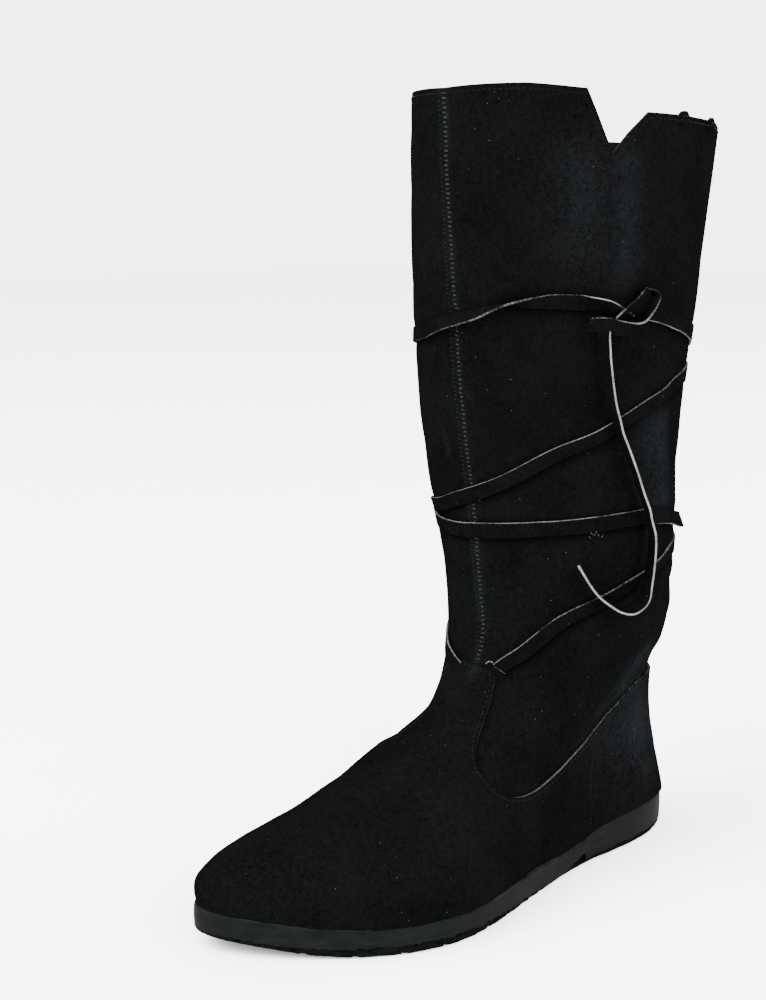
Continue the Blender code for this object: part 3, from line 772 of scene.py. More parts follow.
    def relief(self, points: np.ndarray) -> np.ndarray:
        """Heights of folds and of the hide's own unevenness.

        Args:
            points: Points of the ring surface.

        Returns:
            One height for each point.
        """
        height = np.zeros(points.shape[:-1])
        for fold in self.folds:
            strength, along = self.from_line(points, fold.path, fold.width)
            height += fold.height * strength * (1 - np.abs(2 * along - 1) ** 4)      # fades at both ends
        x, y, z = np.moveaxis(points, -1, 0)
        for size, deep in self.waves:
            turn = 2 * np.pi / size
            height += deep * np.sin(turn * (x + 0.6 * z) + size) * np.sin(turn * (y - 0.4 * z) + 2 * size)
        return height

    def lifted(self, u: Any, v: Any, lift: Any) -> np.ndarray:
        """Points at distances off the folded leather."""
        points = self.surface(u, v)
        return points + self.normal(u, v) * (self.relief(points) + np.asarray(lift, float))[..., None]

    def overlay_edge(self, u: Any) -> np.ndarray:
        """Ring numbers of the upper edge of vamp and counter.

        Args:
            u: Shares of the way round.

        Returns:
            One ring number for each share.
        """
        rows = np.array(self.edge_rows)
        both = np.concatenate([rows[:0:-1] * (-1, 1), rows])
        turned = (np.asarray(u, float) + 0.5) % 1.0 - 0.5
        return spline(both[:, 0], both[:, 1], turned)

    def collar_edge(self, u: Any) -> np.ndarray:
        """Ring numbers of the shaft's top edge."""
        rows = np.array(self.collar_rows)
        return np.interp(np.asarray(u, float) % 1.0, rows[:, 0], rows[:, 1])

    def moved(self, u: np.ndarray, v: np.ndarray, offset: float) -> tuple[np.ndarray, np.ndarray]:
        """A line on the leather moved sideways.

        Args:
            u: Shares of the way round along the line.
            v: Ring numbers along the line.
            offset: Distance to move, down the leather where u rises.

        Returns:
            The moved line's u and v.
        """
        along, up = self.slopes(u, v)
        run = unit(np.gradient(self.surface(u, v), axis=0))
        side = np.cross(run, self.normal(u, v)) * offset
        aa, ab, bb = (along * along).sum(-1), (along * up).sum(-1), (up * up).sum(-1)
        ra, rb = (along * side).sum(-1), (up * side).sum(-1)
        scale = aa * bb - ab * ab
        return u + (ra * bb - rb * ab) / scale, v + (rb * aa - ra * ab) / scale

    def outline(self, u: np.ndarray, grow: np.ndarray) -> np.ndarray:
        """Feather edge seen from above, moved outward.

        Args:
            u: Shares of the way round.
            grow: Distances to move.

        Returns:
            Places beside and along the foot.
        """
        level = np.zeros(np.shape(u))
        run = (self.surface(u + self.step, level) - self.surface(u - self.step, level))[..., :2]
        outward = unit(np.stack([run[..., 1], -run[..., 0]], -1))
        return self.surface(u, level)[..., :2] + outward * np.asarray(grow)[..., None]

    def nap(self, points: np.ndarray) -> np.ndarray:
        """How the nap is brushed at points of the surface, with the patches' painted highlights and shade."""
        return sum(patch.gain * self.from_line(points, patch.path, patch.width)[0] for patch in self.patches)


FORM = BootForm()


# ---------------------------------------------------------------- meshes


def add_piece(name: str, points: np.ndarray, faces: Iterable[Sequence[int]], finishes: Sequence[Finish],
              face_finish: Optional[Sequence[int]] = None, values: Optional[dict[str, np.ndarray]] = None,
              sharp: float = 40.0) -> bpy.types.Object:
    """Add a mesh piece.

    Args:
        name: Name of the piece.
        points: Points in millimetres.
        faces: Corner numbers of each face.
        finishes: Finishes that the faces choose from.
        face_finish: Number of each face's finish.
        values: Values at each point, by the name that the finishes read.
        sharp: Angle in degrees from which an edge stays sharp.

    Returns:
        The new object.
    """
    mesh = bpy.data.meshes.new(name)
    mesh.from_pydata((np.asarray(points) * MM).tolist(), [], [list(face) for face in faces])
    for finish in finishes:
        mesh.materials.append(finish.make())
    if face_finish is not None:
        mesh.polygons.foreach_set("material_index", np.asarray(face_finish, np.int32))
    for key, rows in (values or {}).items():
        layer = mesh.attributes.new(key, "FLOAT", "POINT")
        layer.data.foreach_set("value", np.asarray(rows, np.float32).ravel())
    mesh.validate()
    mesh.shade_smooth()
    mesh.set_sharp_from_angle(angle=math.radians(sharp))
    piece = bpy.data.objects.new(name, mesh)
    bpy.context.scene.collection.objects.link(piece)
    return piece


def dress_as(piece: bpy.types.Object, slot: Slot, *nodes: str) -> bpy.types.Object:
    """Let a piece ride on the body and stand for CAD nodes.

    Args:
        piece: The new piece.
        slot: Material slot meant for its finish; not used.
        nodes: CAD nodes that it stands for.

    Returns:
        The piece.
    """
    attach(piece, BODY)
    if nodes:
        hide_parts(*nodes)
    LOG.info("%s: %d faces", piece.name, len(piece.data.polygons))
    return piece


def grid_faces(columns: int, rows: int, closed: bool) -> np.ndarray:
    """Quads of a grid of points that is stored column by column.

    Args:
        columns: Number of columns.
        rows: Points in a column.
        closed: Whether the last column joins the first.

    Returns:
        Corner numbers, four in a row.
    """
    i = np.arange(columns if closed else columns - 1)[:, None]
    k = np.arange(rows - 1)[None, :]
    j = (i + 1) % columns
    return np.stack([i * rows + k, j * rows + k, j * rows + k + 1, i * rows + k + 1], -1).reshape(-1, 4)


@dataclass(frozen=True)
class LeatherSheet:
    """Sheet of leather between two grids of points, with its cut rims."""

    outer: np.ndarray
    inner: np.ndarray
    closed: bool

    def faces(self) -> tuple[np.ndarray, np.ndarray]:
        """Quads of both sides and of the rims between them.

        Returns:
            Corner numbers, and the part of each quad: 0 outside, 1 inside, 2 top rim, 3 other rims.
        """
        columns, rows = self.outer.shape[:2]
        half = columns * rows
        out = grid_faces(columns, rows, self.closed)
        i = np.arange(columns if self.closed else columns - 1) * rows
        j = (i + rows) % half
        top = rows - 1
        head = np.stack([i + top, j + top, half + j + top, half + i + top], -1)
        foot = np.stack([j, i, half + i, half + j], -1)
        parts = [(out, 0), (out[:, ::-1] + half, 1), (head, 2), (foot, 3)]
        if not self.closed:
            k = np.arange(rows - 1)
            far = half - rows + k
            parts.append((np.stack([k, k + 1, half + k + 1, half + k], -1), 3))
            parts.append((np.stack([far + 1, far, half + far, half + far + 1], -1), 3))
        quads = np.concatenate([some for some, _ in parts])
        return quads, np.concatenate([np.full(len(some), part) for some, part in parts])

    def points(self) -> np.ndarray:
        """Points of both sides."""
        return np.concatenate([self.outer.reshape(-1, 3), self.inner.reshape(-1, 3)])


def seated(grid: np.ndarray) -> np.ndarray:
    """A grid whose first row stands on the outsole.

    Args:
        grid: Points, stored column by column.

    Returns:
        A copy with that row moved.
    """
    grid = grid.copy()
    grid[:, 0, 2] = FORM.sole(FORM.heel_rest - grid[:, 0, 1], 1) + FORM.seat_gap
    return grid


# ---------------------------------------------------------------- leather pieces


@dataclass(frozen=True)
class Upper:
    """Tall shaft and foot of suede, one sheet from the feather edge to the notched collar."""

    wall: float = 1.6
    columns: int = 230
    foot_rows: int = 20
    shaft_rows: int = 150
    seam_step: float = 0.0014        # finer columns at the front seam
    seam_columns: tuple = (-10, 28)
    tuck: float = 0.12               # ring numbers that the foot rows end below the overlays' edge
    rim_round: float = 0.35
    painted_shadow: float = 0.30              # painted shadow: loss of the nap's colour under the lace's lower edge
    painted_shadow_width: float = 2.4

    def shares(self) -> np.ndarray:
        """Places of the columns, with the notch's corners among them.

        Returns:
            Rising shares of the way round.
        """
        u = np.arange(self.columns) / self.columns
        for place in FORM.notch:
            u[np.argmin(abs(u - place))] = place
        low, high = self.seam_columns
        fine = np.arange(low, high + 1) * self.seam_step
        half = 0.5 / self.columns
        u = u[(u > fine[-1] + half) & (u < 1 + fine[0] - half)]
        return np.sort(np.concatenate([u, fine % 1.0]))

    def build(self, shadow_lines: Sequence[np.ndarray]) -> None:
        """Build and dress the upper.

        Args:
            shadow_lines: Lines of points along which shadow is painted into the nap's colour.
        """
        u = self.shares()
        edge, collar = FORM.overlay_edge(u)[:, None] - self.tuck, FORM.collar_edge(u)[:, None]
        foot = np.linspace(0, 1, self.foot_rows + 1) * edge
        shaft = edge + (collar - edge) * np.linspace(0, 1, self.shaft_rows + 1)[1:]
        rows = np.concatenate([foot, shaft], 1)
        turn = np.repeat(u[:, None], rows.shape[1], 1)
        lift = np.zeros(rows.shape)
        lift[:, -1] = -self.rim_round
        outer = seated(FORM.lifted(turn, rows, lift))
        inner = seated(FORM.lifted(turn, rows, -self.wall - lift))
        sheet = LeatherSheet(outer, inner, True)
        faces, parts = sheet.faces()
        nap = FORM.nap(FORM.surface(turn, rows)).ravel()
        # painted shadow: the nap's colour darkens along each line just below a lace strand
        for line in shadow_lines:
            nap -= self.painted_shadow * nearness(outer.reshape(-1, 3), line, self.painted_shadow_width)
        piece = add_piece("upper_suede", sheet.points(), faces, (SUEDE, FLESH_SIDE, HEM_EDGE),
                          np.minimum(parts, 2), {NAP_AND_PAINTED_LIGHT: np.concatenate([nap, np.zeros(rows.size)])})
        dress_as(piece, Slot.SUEDE, "upper")


@dataclass(frozen=True)
class Overlay:
    """Suede piece sewn onto the foot, from the feather edge up to its cut edge."""

    name: str
    node: str
    start: float
    stop: float
    columns: int
    rows: int = 96
    thick: float = 1.4
    seam_gap: float = 0.00003
    edge_step: float = 0.02          # ring numbers between the cut edge and the last full row
    edge_round: float = 0.22
    edge_dye: Rows = (               # share of the way round, dye that the cut edge took
        (0.0, 0.26), (0.225, 0.26), (0.24, -0.03), (0.285, -0.03), (0.312, 0.08), (0.318, 0.20), (0.34, 0.24),
        (0.5, 0.26),
    )

    def build(self) -> None:
        """Build and dress the overlay."""
        u = np.linspace(self.start + self.seam_gap, self.stop - self.seam_gap, self.columns)
        edge = FORM.overlay_edge(u)
        share = np.linspace(0, 1, self.rows)[None, :]
        rows = np.concatenate([share * (edge - self.edge_step)[:, None], edge[:, None]], 1)
        turn = np.repeat(u[:, None], rows.shape[1], 1)
        low = np.full(rows.shape, FORM.seat_gap)
        high = low + self.thick
        high[:, -1] -= self.edge_round
        outer, inner = (seated(FORM.lifted(turn, rows, lift)) for lift in (high, low))
        sheet = LeatherSheet(outer, inner, False)
        faces, parts = sheet.faces()
        nap = np.concatenate([FORM.nap(FORM.surface(turn, rows)).ravel(), np.zeros(rows.size)])
        dye = np.interp(np.abs((turn + 0.5) % 1.0 - 0.5), *np.array(self.edge_dye).T).ravel()
        piece = add_piece(self.name, sheet.points(), faces, (SUEDE, FLESH_SIDE, PANEL_EDGE),
                          np.array([0, 1, 2, 0])[parts], {NAP_AND_PAINTED_LIGHT: nap, DYE: np.concatenate([dye, dye])})
        dress_as(piece, Slot.SUEDE, self.node)


@dataclass(frozen=True)
class StitchRow:
    """Row of equal stitches along a line on the leather."""

    kind: StitchKind
    pitch: float
    length: float
    radius: float
    sunk: float = 0.35               # share of the radius below the leather
    rings: Rows = ((-1.0, 0.25, -0.9), (-0.8, 0.8, -0.2), (-0.3, 1.0, 0.3), (0.3, 1.0, 0.3), (0.8, 0.8, -0.2),
                   (1.0, 0.25, -0.9))     # place along the stitch, radius and rise, as shares
    corners: int = 6

    def mesh(self, u: np.ndarray, v: np.ndarray, lift: float) -> tuple[np.ndarray, np.ndarray]:
        """Points and faces of the stitches.

        Args:
            u: Shares of the way round along the row.
            v: Ring numbers along the row.
            lift: Distance of the sewn surface off the upper.

        Returns:
            Points, and faces as corner numbers.
        """
        line = FORM.lifted(u, v, np.full(u.shape, lift))
        points, normals = even(line, self.pitch, FORM.normal(u, v))
        run = unit(np.gradient(points, axis=0))
        normals = unit(normals - run * (normals * run).sum(-1, keepdims=True))
        side = np.cross(run, normals)
        axis, cross = (run, side) if self.kind is StitchKind.ALONG else (side, run)
        loops = []
        for place, size, rise in self.rings:
            middle = points + axis * place * self.length / 2 + normals * self.radius * (rise - self.sunk)
            for turn in np.arange(self.corners) / self.corners * 2 * np.pi:
                spoke = cross * math.cos(turn) + normals * math.sin(turn)
                loops.append(middle + spoke * self.radius * size)
        body = np.stack(loops, 1)                      # stitch, then its rings' corners
        ring, k = np.divmod(np.arange((len(self.rings) - 1) * self.corners), self.corners)
        low, after = ring * self.corners, (k + 1) % self.corners
        high = low + self.corners
        quads = np.stack([low + k, low + after, high + after, high + k], -1)
        every = quads[None] + (np.arange(len(points)) * len(loops))[:, None, None]
        return body.reshape(-1, 3), every.reshape(-1, 4)


@dataclass(frozen=True)
class Stitching:
    """All sewn rows: the front seam's ladder, the overlay rows, the collar hem and the side seams."""

    ladder: StitchRow = StitchRow(StitchKind.ACROSS, 2.05, 2.7, 0.45, 0.5)
    legs: StitchRow = StitchRow(StitchKind.ACROSS, 2.05, 1.8, 0.30, 0.5)
    leg_shift: tuple = (-0.0075, 0.013)     # where the legs show beside the ladder
    seam_rings: tuple = (7.28, 11.95)       # lower and upper end of the front seam
    loose: tuple = (                 # frayed bits: at the slit and fibres on the lace's lower edge
        ("slit_curl", StitchRow(StitchKind.ALONG, 1.0, 1.4, 0.34),
         ((0.0425, 7.226), (0.044, 7.242), (0.0475, 7.248), (0.052, 7.238), (0.055, 7.215)), 0.6),
        ("slit_lip", StitchRow(StitchKind.ALONG, 1.5, 1.9, 0.11),
         ((0.063, 7.150), (0.070, 7.112), (0.078, 7.062)), 0.4),
        ("lace_fray", StitchRow(StitchKind.ACROSS, 2.4, 1.5, 0.11),
         ((0.1590, 8.845), (0.1680, 8.895)), 1.5),
        ("lace_fibres", StitchRow(StitchKind.ACROSS, 2.1, 1.0, 0.10),
         ((0.1610, 8.890), (0.1750, 8.840)), 1.5),
    )
    lock: StitchRow = StitchRow(StitchKind.ALONG, 2.5, 1.7, 0.22)
    edge_offset: float = 1.8                # from the overlays' cut edge
    hem_offset: float = 2.4                 # from the collar
    ladder_lift: float = 0.25               # distances of the sewn surface off the upper
    leg_lift: float = 0.1
    overlay_lift: float = 1.7
    side_offset: float = 0.0115             # share of the way round, from the side seam into the counter
    side_rings: tuple = (0.25, 3.0)
    samples: int = 1200

    def rows(self) -> list[tuple[str, Finish, StitchRow, np.ndarray, np.ndarray, float]]:
        """Lay out every row.

        Returns:
            Name, thread, stitch, the line's u and v, and the sewn surface's distance off the upper.
        """
        t = np.linspace(0, 1, self.samples)
        seam_v = np.linspace(*self.seam_rings, self.samples)
        seam = np.array(SEAM)
        seam_u = spline(seam[:, 1], seam[:, 0], seam_v)
        leg_u, leg_v = self.leg_shift
        made = [("front_seam_stitches", SEAM_THREAD, self.ladder, seam_u, seam_v, self.ladder_lift),
                ("front_seam_legs", DARK_THREAD, self.legs, seam_u + leg_u, seam_v + leg_v, self.leg_lift)]
        for name, stitch, line, lift in self.loose:
            made.append((name, LACE_EDGE, stitch, *drawn_through(line, self.samples).T, lift))
        turn = t - 0.5
        edge_u, edge_v = FORM.moved(turn, FORM.overlay_edge(turn), self.edge_offset)
        made.append(("edge_stitches", PANEL_THREAD, self.lock, edge_u, edge_v, self.overlay_lift))
        hem_u, hem_v = FORM.moved(t, FORM.collar_edge(t), self.hem_offset)
        made.append(("hem_stitches", DARK_THREAD, self.lock, hem_u, hem_v, 0.0))
        for side, name in ((1, "outer_side_stitches"), (-1, "inner_side_stitches")):
            u = np.full(t.size, side * (SIDE_SEAM + self.side_offset))
            v = np.linspace(*self.side_rings, self.samples)
            made.append((name, DARK_THREAD, self.lock, u, v, self.overlay_lift))
        return made

    def build(self) -> None:
        """Build and dress the stitch rows."""
        for name, thread, stitch, u, v, lift in self.rows():
            dress_as(add_piece(name, *stitch.mesh(u, v, lift), (thread,), sharp=180.0), Slot.SUEDE)


# ---------------------------------------------------------------- sole


@dataclass(frozen=True)
class Outsole:
    """Moulded sole: smooth wall with a ledge, worn tread layer with cross grooves."""

    # rows by the distance from the heel back: ledge outside the upper, recess in front of the heel
    ledge_rows: Rows = ((0.0, 2.3), (85.0, 2.3), (100.0, 3.6), (125.0, 4.6), (150.0, 3.2), (175.0, 2.3))
    breast_rows: Rows = ((90.0, 0.0), (91.0, 4.0), (96.0, 3.6), (106.0, 0.0))
    heel_ledge: float = -2.0         # how much less the ledge is behind the heel
    heel_place: float = 0.47         # share of the way round
    heel_spread: float = 0.06
    tread_inset: float = 0.8
    groove_depth: float = 1.5
    rim_groove: float = 0.35         # share of that depth left at the worn rim
    groove_width: float = 2.6
    groove_slope: float = 0.5
    groove_clear: float = 0.6        # share of a groove's width kept free of plain cross sections
    grooves: tuple = (14.0, 30.0, 46.0, 162.0, 177.0, 204.0, 222.0, 240.0, 257.0)
    breaks: tuple = (64.0, 78.0, 90.0, 91.0, 96.0, 106.0, 112.0)     # where the sole's lines bend
    steps: int = 300                 # cross sections from toe to heel
    bottom_points: int = 13
    ragged: float = 0.6              # how far the tread's rim crumbled
    # rows down the wall and down the tread layer: share of the height, distance outward
    wall_rows: Rows = ((1.0, -0.55), (0.96, -0.12), (0.86, 0.05), (0.6, 0.22), (0.3, 0.22), (0.06, 0.06),
                       (0.0, 0.0))
    tread_rows: Rows = ((1.0, 0.0), (0.5, 0.25), (0.12, 0.1), (0.0, -0.35))
    worn_places: int = 520           # round the rim
    seed: int = 11

    def stations(self) -> list[tuple[float, float]]:
        """Places of the cross sections from toe to heel.

        Returns:
            Shares of the way round, each with the depth cut into the underside.
        """
        front, back = FORM.rings[0][0], FORM.rings[0][2]
        mouth = self.groove_width / 2
        floor = mouth - self.groove_slope
        places = [(f, 0.0) for f in self.breaks]
        for groove in self.grooves:
            places += [(groove - mouth, 0.0), (groove - floor, self.groove_depth),
                       (groove + floor, self.groove_depth), (groove + mouth, 0.0)]
        made = [(math.acos(2 * (f - back) / (front - back) - 1) / (2 * math.pi), depth)
                for f, depth in places]
        for u in np.linspace(0.0, 0.5, self.steps + 1):
            f = back + (front - back) * (1 + math.cos(2 * math.pi * u)) / 2
            clear = self.groove_width * self.groove_clear
            if all(abs(f - place) > clear for place in self.grooves + self.breaks):
                made.append((u, 0.0))
        return sorted(made)

    def crumble(self, u: np.ndarray, layer: int) -> np.ndarray:
        """Uneven wear round the tread, the same each time.

        Args:
            u: Shares of the way round.
            layer: Number of the pattern.

        Returns:
            Values from -1 to 1.
        """
        table = np.random.default_rng(self.seed + layer).uniform(-1, 1, self.worn_places)
        places = np.arange(self.worn_places + 1) / self.worn_places
        return np.interp(u % 1.0, places, np.append(table, table[0]))

    def ledge(self, u: np.ndarray) -> np.ndarray:
        """Widths of the ledge outside the upper, more at the outer waist.

        Args:
            u: Shares of the way round.

        Returns:
            One width for each share.
        """
        rows = np.array(self.ledge_rows)
        f = FORM.heel_rest - FORM.surface(u, np.zeros(u.shape))[:, 1]
        wide = np.where(u < 0.5, np.interp(f, rows[:, 0], rows[:, 1]), rows[0, 1])
        return wide + self.heel_ledge * np.exp(-((u - self.heel_place) / self.heel_spread) ** 2)

    def side(self, u: np.ndarray, cut: np.ndarray) -> np.ndarray:
        """Points down one side of the sole, from ledge to underside.

        Args:
            u: Shares of the way round of the cross sections.
            cut: Depths cut into the underside there.

        Returns:
            One row of points for each cross section.
        """
        wear, chip, ledge = self.crumble(u, 0), self.crumble(u, 1), self.ledge(u)
        wall = FORM.outline(u, ledge)
        top = FORM.sole(FORM.heel_rest - wall[:, 1], 1)
        breast = np.interp(FORM.heel_rest - wall[:, 1], *np.array(self.breast_rows).T)
        foot = FORM.outline(u, ledge - self.tread_inset)
        under = FORM.sole(FORM.heel_rest - foot[:, 1], 2)
        low = under + FORM.sole(FORM.heel_rest - foot[:, 1], 3) + chip * self.ragged
        rows = []
        for share, out in self.wall_rows:
            place = FORM.outline(u, ledge + out)
            rows.append(np.column_stack([place, low + (top - low) * share]))
        for share, out in self.tread_rows:
            ragged = wear * self.ragged * (0.4 + 0.6 * share)          # less worn at the floor
            place = FORM.outline(u, ledge - self.tread_inset - breast * share + out + ragged)
            rows.append(np.column_stack([place, under + cut + (low - under - cut) * share]))
        return np.stack(rows, 1)

    def build(self) -> None:
        """Build and dress the outsole."""
        u, cut = np.array(self.stations()).T
        outer, inner = self.side(u, cut * self.rim_groove), self.side(1.0 - u, cut * self.rim_groove)
        share = np.linspace(0, 1, self.bottom_points + 2)[1:-1, None]
        bottom = np.stack([outer[:, -1] + (inner[:, -1] - outer[:, -1]) * s for s in share], 1)
        bottom[..., 2] += (cut * (1 - self.rim_groove))[:, None]
        middle = ((outer[:, 0] + inner[:, 0]) / 2)[:, None]
        loops = np.concatenate([middle, outer, bottom, inner[:, ::-1]], 1)
        size = loops.shape[1]
        wall_count = len(self.wall_rows)
        tread = np.zeros(size, int)
        tread[wall_count:size - wall_count] = 1
        mesh = bmesh.new()
        corners = [[mesh.verts.new(p * MM) for p in loop] for loop in loops]
        for i in range(len(loops) - 1):
            for k in range(size):
                m = (k + 1) % size
                face = mesh.faces.new((corners[i][k], corners[i][m], corners[i + 1][m], corners[i + 1][k]))
                face.material_index = int(tread[k])
        bmesh.ops.remove_doubles(mesh, verts=mesh.verts, dist=1e-6)
        bmesh.ops.recalc_face_normals(mesh, faces=mesh.faces)
        mesh.verts.index_update()
        points = np.array([v.co for v in mesh.verts]) / MM
        faces = [[v.index for v in face.verts] for face in mesh.faces]
        finish = [face.material_index for face in mesh.faces]
        mesh.free()
        piece = add_piece("outsole_rubber", points, faces, (WALL_RUBBER, TREAD_RUBBER_AND_SHADE), finish)
        dress_as(piece, Slot.RUBBER, "outsole")


@dataclass(frozen=True)
class Insole:
    """Board inside the boot, kept as its solid."""

    node: str = "insole"

    def dress(self) -> None:
        """Give the board its finish."""
        piece = bpy.data.objects[self.node]
        piece.data.materials.clear()
        piece.data.materials.append(INSOLE_BOARD.make())
        LOG.info("%s: dressed board", self.node)


# ---------------------------------------------------------------- lace


@dataclass(frozen=True)
class Route:
    """Path of a strip."""

    points: np.ndarray
    facing: np.ndarray               # directions that its broad side faces
    dye: np.ndarray                  # dye that its cut edges took
    ends: tuple = (0, 0)             # finish of the first and the last end
    width: float = LACE_WIDTH


@dataclass(frozen=True)
class Strip:
    """Flat strip cut from suede, with pale cut edges."""

    width: float = LACE_WIDTH
    thick: float = 1.15
    bevel: float = 0.12
    step: float = 1.3                # between cross sections
    uneven: float = 0.05             # share by which the knife wandered
    wander: tuple = (11.0, 27.0)     # distances over which it did
    flat: float = 0.4                # share of the half width to the points between the edges

    def mesh(self, route: Route) -> tuple[np.ndarray, list, list, np.ndarray]:
        """Mesh of a strip along a route.

        Args:
            route: The strip's path.

        Returns:
            Points, faces, the faces' finishes (0 broad side, 1 cut edge), and the points' dye.
        """
        points, facing, dye = even(route.points, self.step, route.facing, route.dye)
        facing = turned(points, facing, np.zeros(len(points)))
        across = np.cross(unit(np.gradient(points, axis=0)), facing)
        at, (short, long) = run_length(points), self.wander
        half = route.width / 2 * (1 + self.uneven * np.sin(at / short) * np.sin(at / long + 1.0))
        low, rim = self.thick / 2, self.thick / 2 - self.bevel
        bevelled = 1 - self.bevel / (self.width / 2)
        side = [(-1, -rim), (-1, rim), (-bevelled, low), (-self.flat, low), (self.flat, low), (bevelled, low)]
        profile = side + [(-w, -t) for w, t in side]
        loops = np.stack([points + across * (half * w)[:, None] + facing * t for w, t in profile], 1)
        count, size = loops.shape[:2]
        first = np.arange(count - 1)[:, None] * size
        wrap = first + np.array([size - 1, 2 * size - 1, size, 0])
        caps = [list(range(size))[::-1], list(range((count - 1) * size, count * size))]
        kinds = np.zeros(size - 1, int)
        kinds[[0, len(side)]] = 1
        faces = [*grid_faces(count, size, False).tolist(), *wrap.tolist(), *caps]
        finish = [*np.tile(kinds, count - 1).tolist(), *([0] * len(wrap)), *route.ends]
        return loops.reshape(-1, 3), faces, finish, np.repeat(dye, size)


def turned(points: np.ndarray, facing: np.ndarray, roll: np.ndarray) -> np.ndarray:
    """Directions set square to the run of a path and turned about it.

    Args:
        points: Points along the path.
        facing: Directions at the points.
        roll: Degrees to turn.

    Returns:
        The turned directions, of length one.
    """
    run = unit(np.gradient(points, axis=0))
    facing = unit(facing - run * (facing * run).sum(-1, keepdims=True))
    angle = np.radians(roll)[:, None]
    return facing * np.cos(angle) + np.cross(run, facing) * np.sin(angle)


def beside_edge(edge: np.ndarray, facing: np.ndarray, inset: float) -> np.ndarray:
    """Middle line of a strip whose cut edge is given."""
    return edge + np.cross(unit(np.gradient(edge, axis=0)), facing) * inset


def leather_route(rows: Rows, inset: float, ends: tuple, dense: int = 40) -> Route:
    """Route of a strip whose cut edge follows a line over the leather.

    Args:
        rows: Share of the way round, ring number, distance off the leather, roll in degrees.
        inset: Distance of the strip's middle from its cut edge.
        ends: Finish of the first and the last end.
        dense: Points for each row.

    Returns:
        The route.
    """
    u, v, lift, roll = drawn_through(rows, dense * len(rows)).T
    edge = FORM.lifted(u, v, lift)
    facing = turned(edge, FORM.normal(u, v), roll)
    return Route(beside_edge(edge, facing, inset), facing, np.zeros(len(edge)), ends)


@dataclass(frozen=True)
class Strand:
    """Wound strand: its middle line, then what changes along it by the share of the way round."""

    path: Rows
    lean: Rows            # degrees, above 0 shows the upper cut edge
    rise: Rows            # extra distance off the leather
    dye: Rows             # dye in the cut edges
    width: float

    def along(self, rows: Rows, u: np.ndarray) -> np.ndarray:
        """A changing value at shares of the way round."""
        table = np.array(sorted(map(tuple, rows)))
        return np.interp(u, table[:, 0], table[:, 1])


FIRST_STRAND = Strand(
    STRAND_A,
    lean=((0.06, 40.0), (0.08, 34.0), (0.095, 24.0), (0.12, 16.0), (0.27, 8.0), (0.31, 1.0), (0.85, 4.0),
          (0.92, 12.0), (1.20, 13.0), (1.27, 8.0), (1.31, 1.0), (1.80, 0.0), (1.90, -6.0), (1.94, -12.0),
          (1.97, -22.0), (2.01, -38.0), (2.04, -62.0), (2.066, -90.0), (2.09, -128.0), (2.115, -160.0),
          (2.15, -170.0), (2.158, -150.0), (2.172, -138.0), (2.20, -140.0)),
    rise=((0.0, 0.0), (2.155, 0.0), (2.176, 0.9), (2.20, 0.6)),
    dye=((0.06, 0.05), (0.10, 0.12), (0.13, 0.18), (0.25, 0.18), (0.30, 0.08), (0.90, -0.02), (1.10, -0.02),
         (1.20, 0.0), (1.25, 0.06), (1.80, 0.20), (1.92, 0.22), (2.04, 0.25), (2.10, 0.31), (2.145, 0.31),
         (2.155, 0.10), (2.160, -0.12), (2.180, -0.12), (2.186, 0.30), (2.20, 0.30)),
    width=6.7,            # cut narrower than the other one
)
SECOND_STRAND = Strand(
    STRAND_B,
    lean=((-1.80, -16.0), (-1.76, -24.0), (-1.72, -22.0), (-1.69, -10.0), (-1.66, 0.0), (-1.12, 2.0),
          (-1.06, 10.0), (-1.02, 12.0), (-0.80, 9.0), (-0.765, 2.0), (-0.745, -18.0), (-0.72, -31.0),
          (-0.69, -29.0), (-0.65, -20.0), (-0.60, -10.0), (-0.50, 2.0), (-0.16, -6.0), (-0.12, 0.0),
          (-0.085, 10.0), (-0.02, 18.0)),
    rise=((-1.80, 1.2), (-1.785, 1.2), (-1.765, 0.6), (-1.735, 0.0), (-0.77, 0.0), (-0.735, 0.5),
          (-0.705, 1.2), (-0.66, 1.6), (-0.61, 1.2), (-0.54, 0.0), (0.0, 0.0)),
    dye=((-1.80, 0.0), (-1.76, -0.04), (-1.69, -0.06), (-1.10, 0.03), (-0.78, 0.03), (-0.745, -0.16),
         (-0.70, -0.16), (-0.20, 0.06), (-0.02, 0.08)),
    width=LACE_WIDTH,
)
# Cut edges of the knot's strips: along the strand, up, out of the leather, roll in degrees, how dark the cut
# edge is
# the core strip's cut edge is darker from its fourth row on
CORE = ((-13.8, -4.9, 3.6, 20.0, -0.06), (-12.4, -3.2, 4.6, 25.0, -0.06), (-7.9, 0.9, 5.6, 25.0, -0.06),
        (-6.9, 1.7, 5.7, 23.0, 0.45), (-5.0, 3.0, 5.8, 20.0, 0.50), (-1.4, 5.4, 5.8, 15.0, 0.42),
        (4.3, 9.9, 4.6, 5.0, 0.40))
SHORT_END = ((5.2, 9.3, 4.4, -88.0, 0.45), (7.6, 8.9, 5.6, -100.0, 0.45), (9.6, 7.8, 6.6, -108.0, 0.40),
             (10.0, 6.8, 7.2, -110.0, 0.25), (9.9, 6.0, 7.6, -108.0, 0.16), (8.9, 4.4, 8.3, -104.0, 0.07),
             (6.6, 1.2, 8.8, -96.0, 0.07), (3.6, -2.2, 9.0, -80.0, 0.07), (0.7, -4.6, 9.0, -62.0, 0.07),
             (-2.7, -5.3, 8.8, -48.0, 0.07), (-7.0, -4.8, 8.5, -38.0, 0.09), (-13.9, -3.3, 8.0, -32.0, 0.22),
             (-17.6, -2.3, 7.5, -30.0, 0.26), (-24.0, -2.0, 7.0, -30.0, 0.27),
             (-28.0, -2.2, 6.6, -30.0, 0.27))
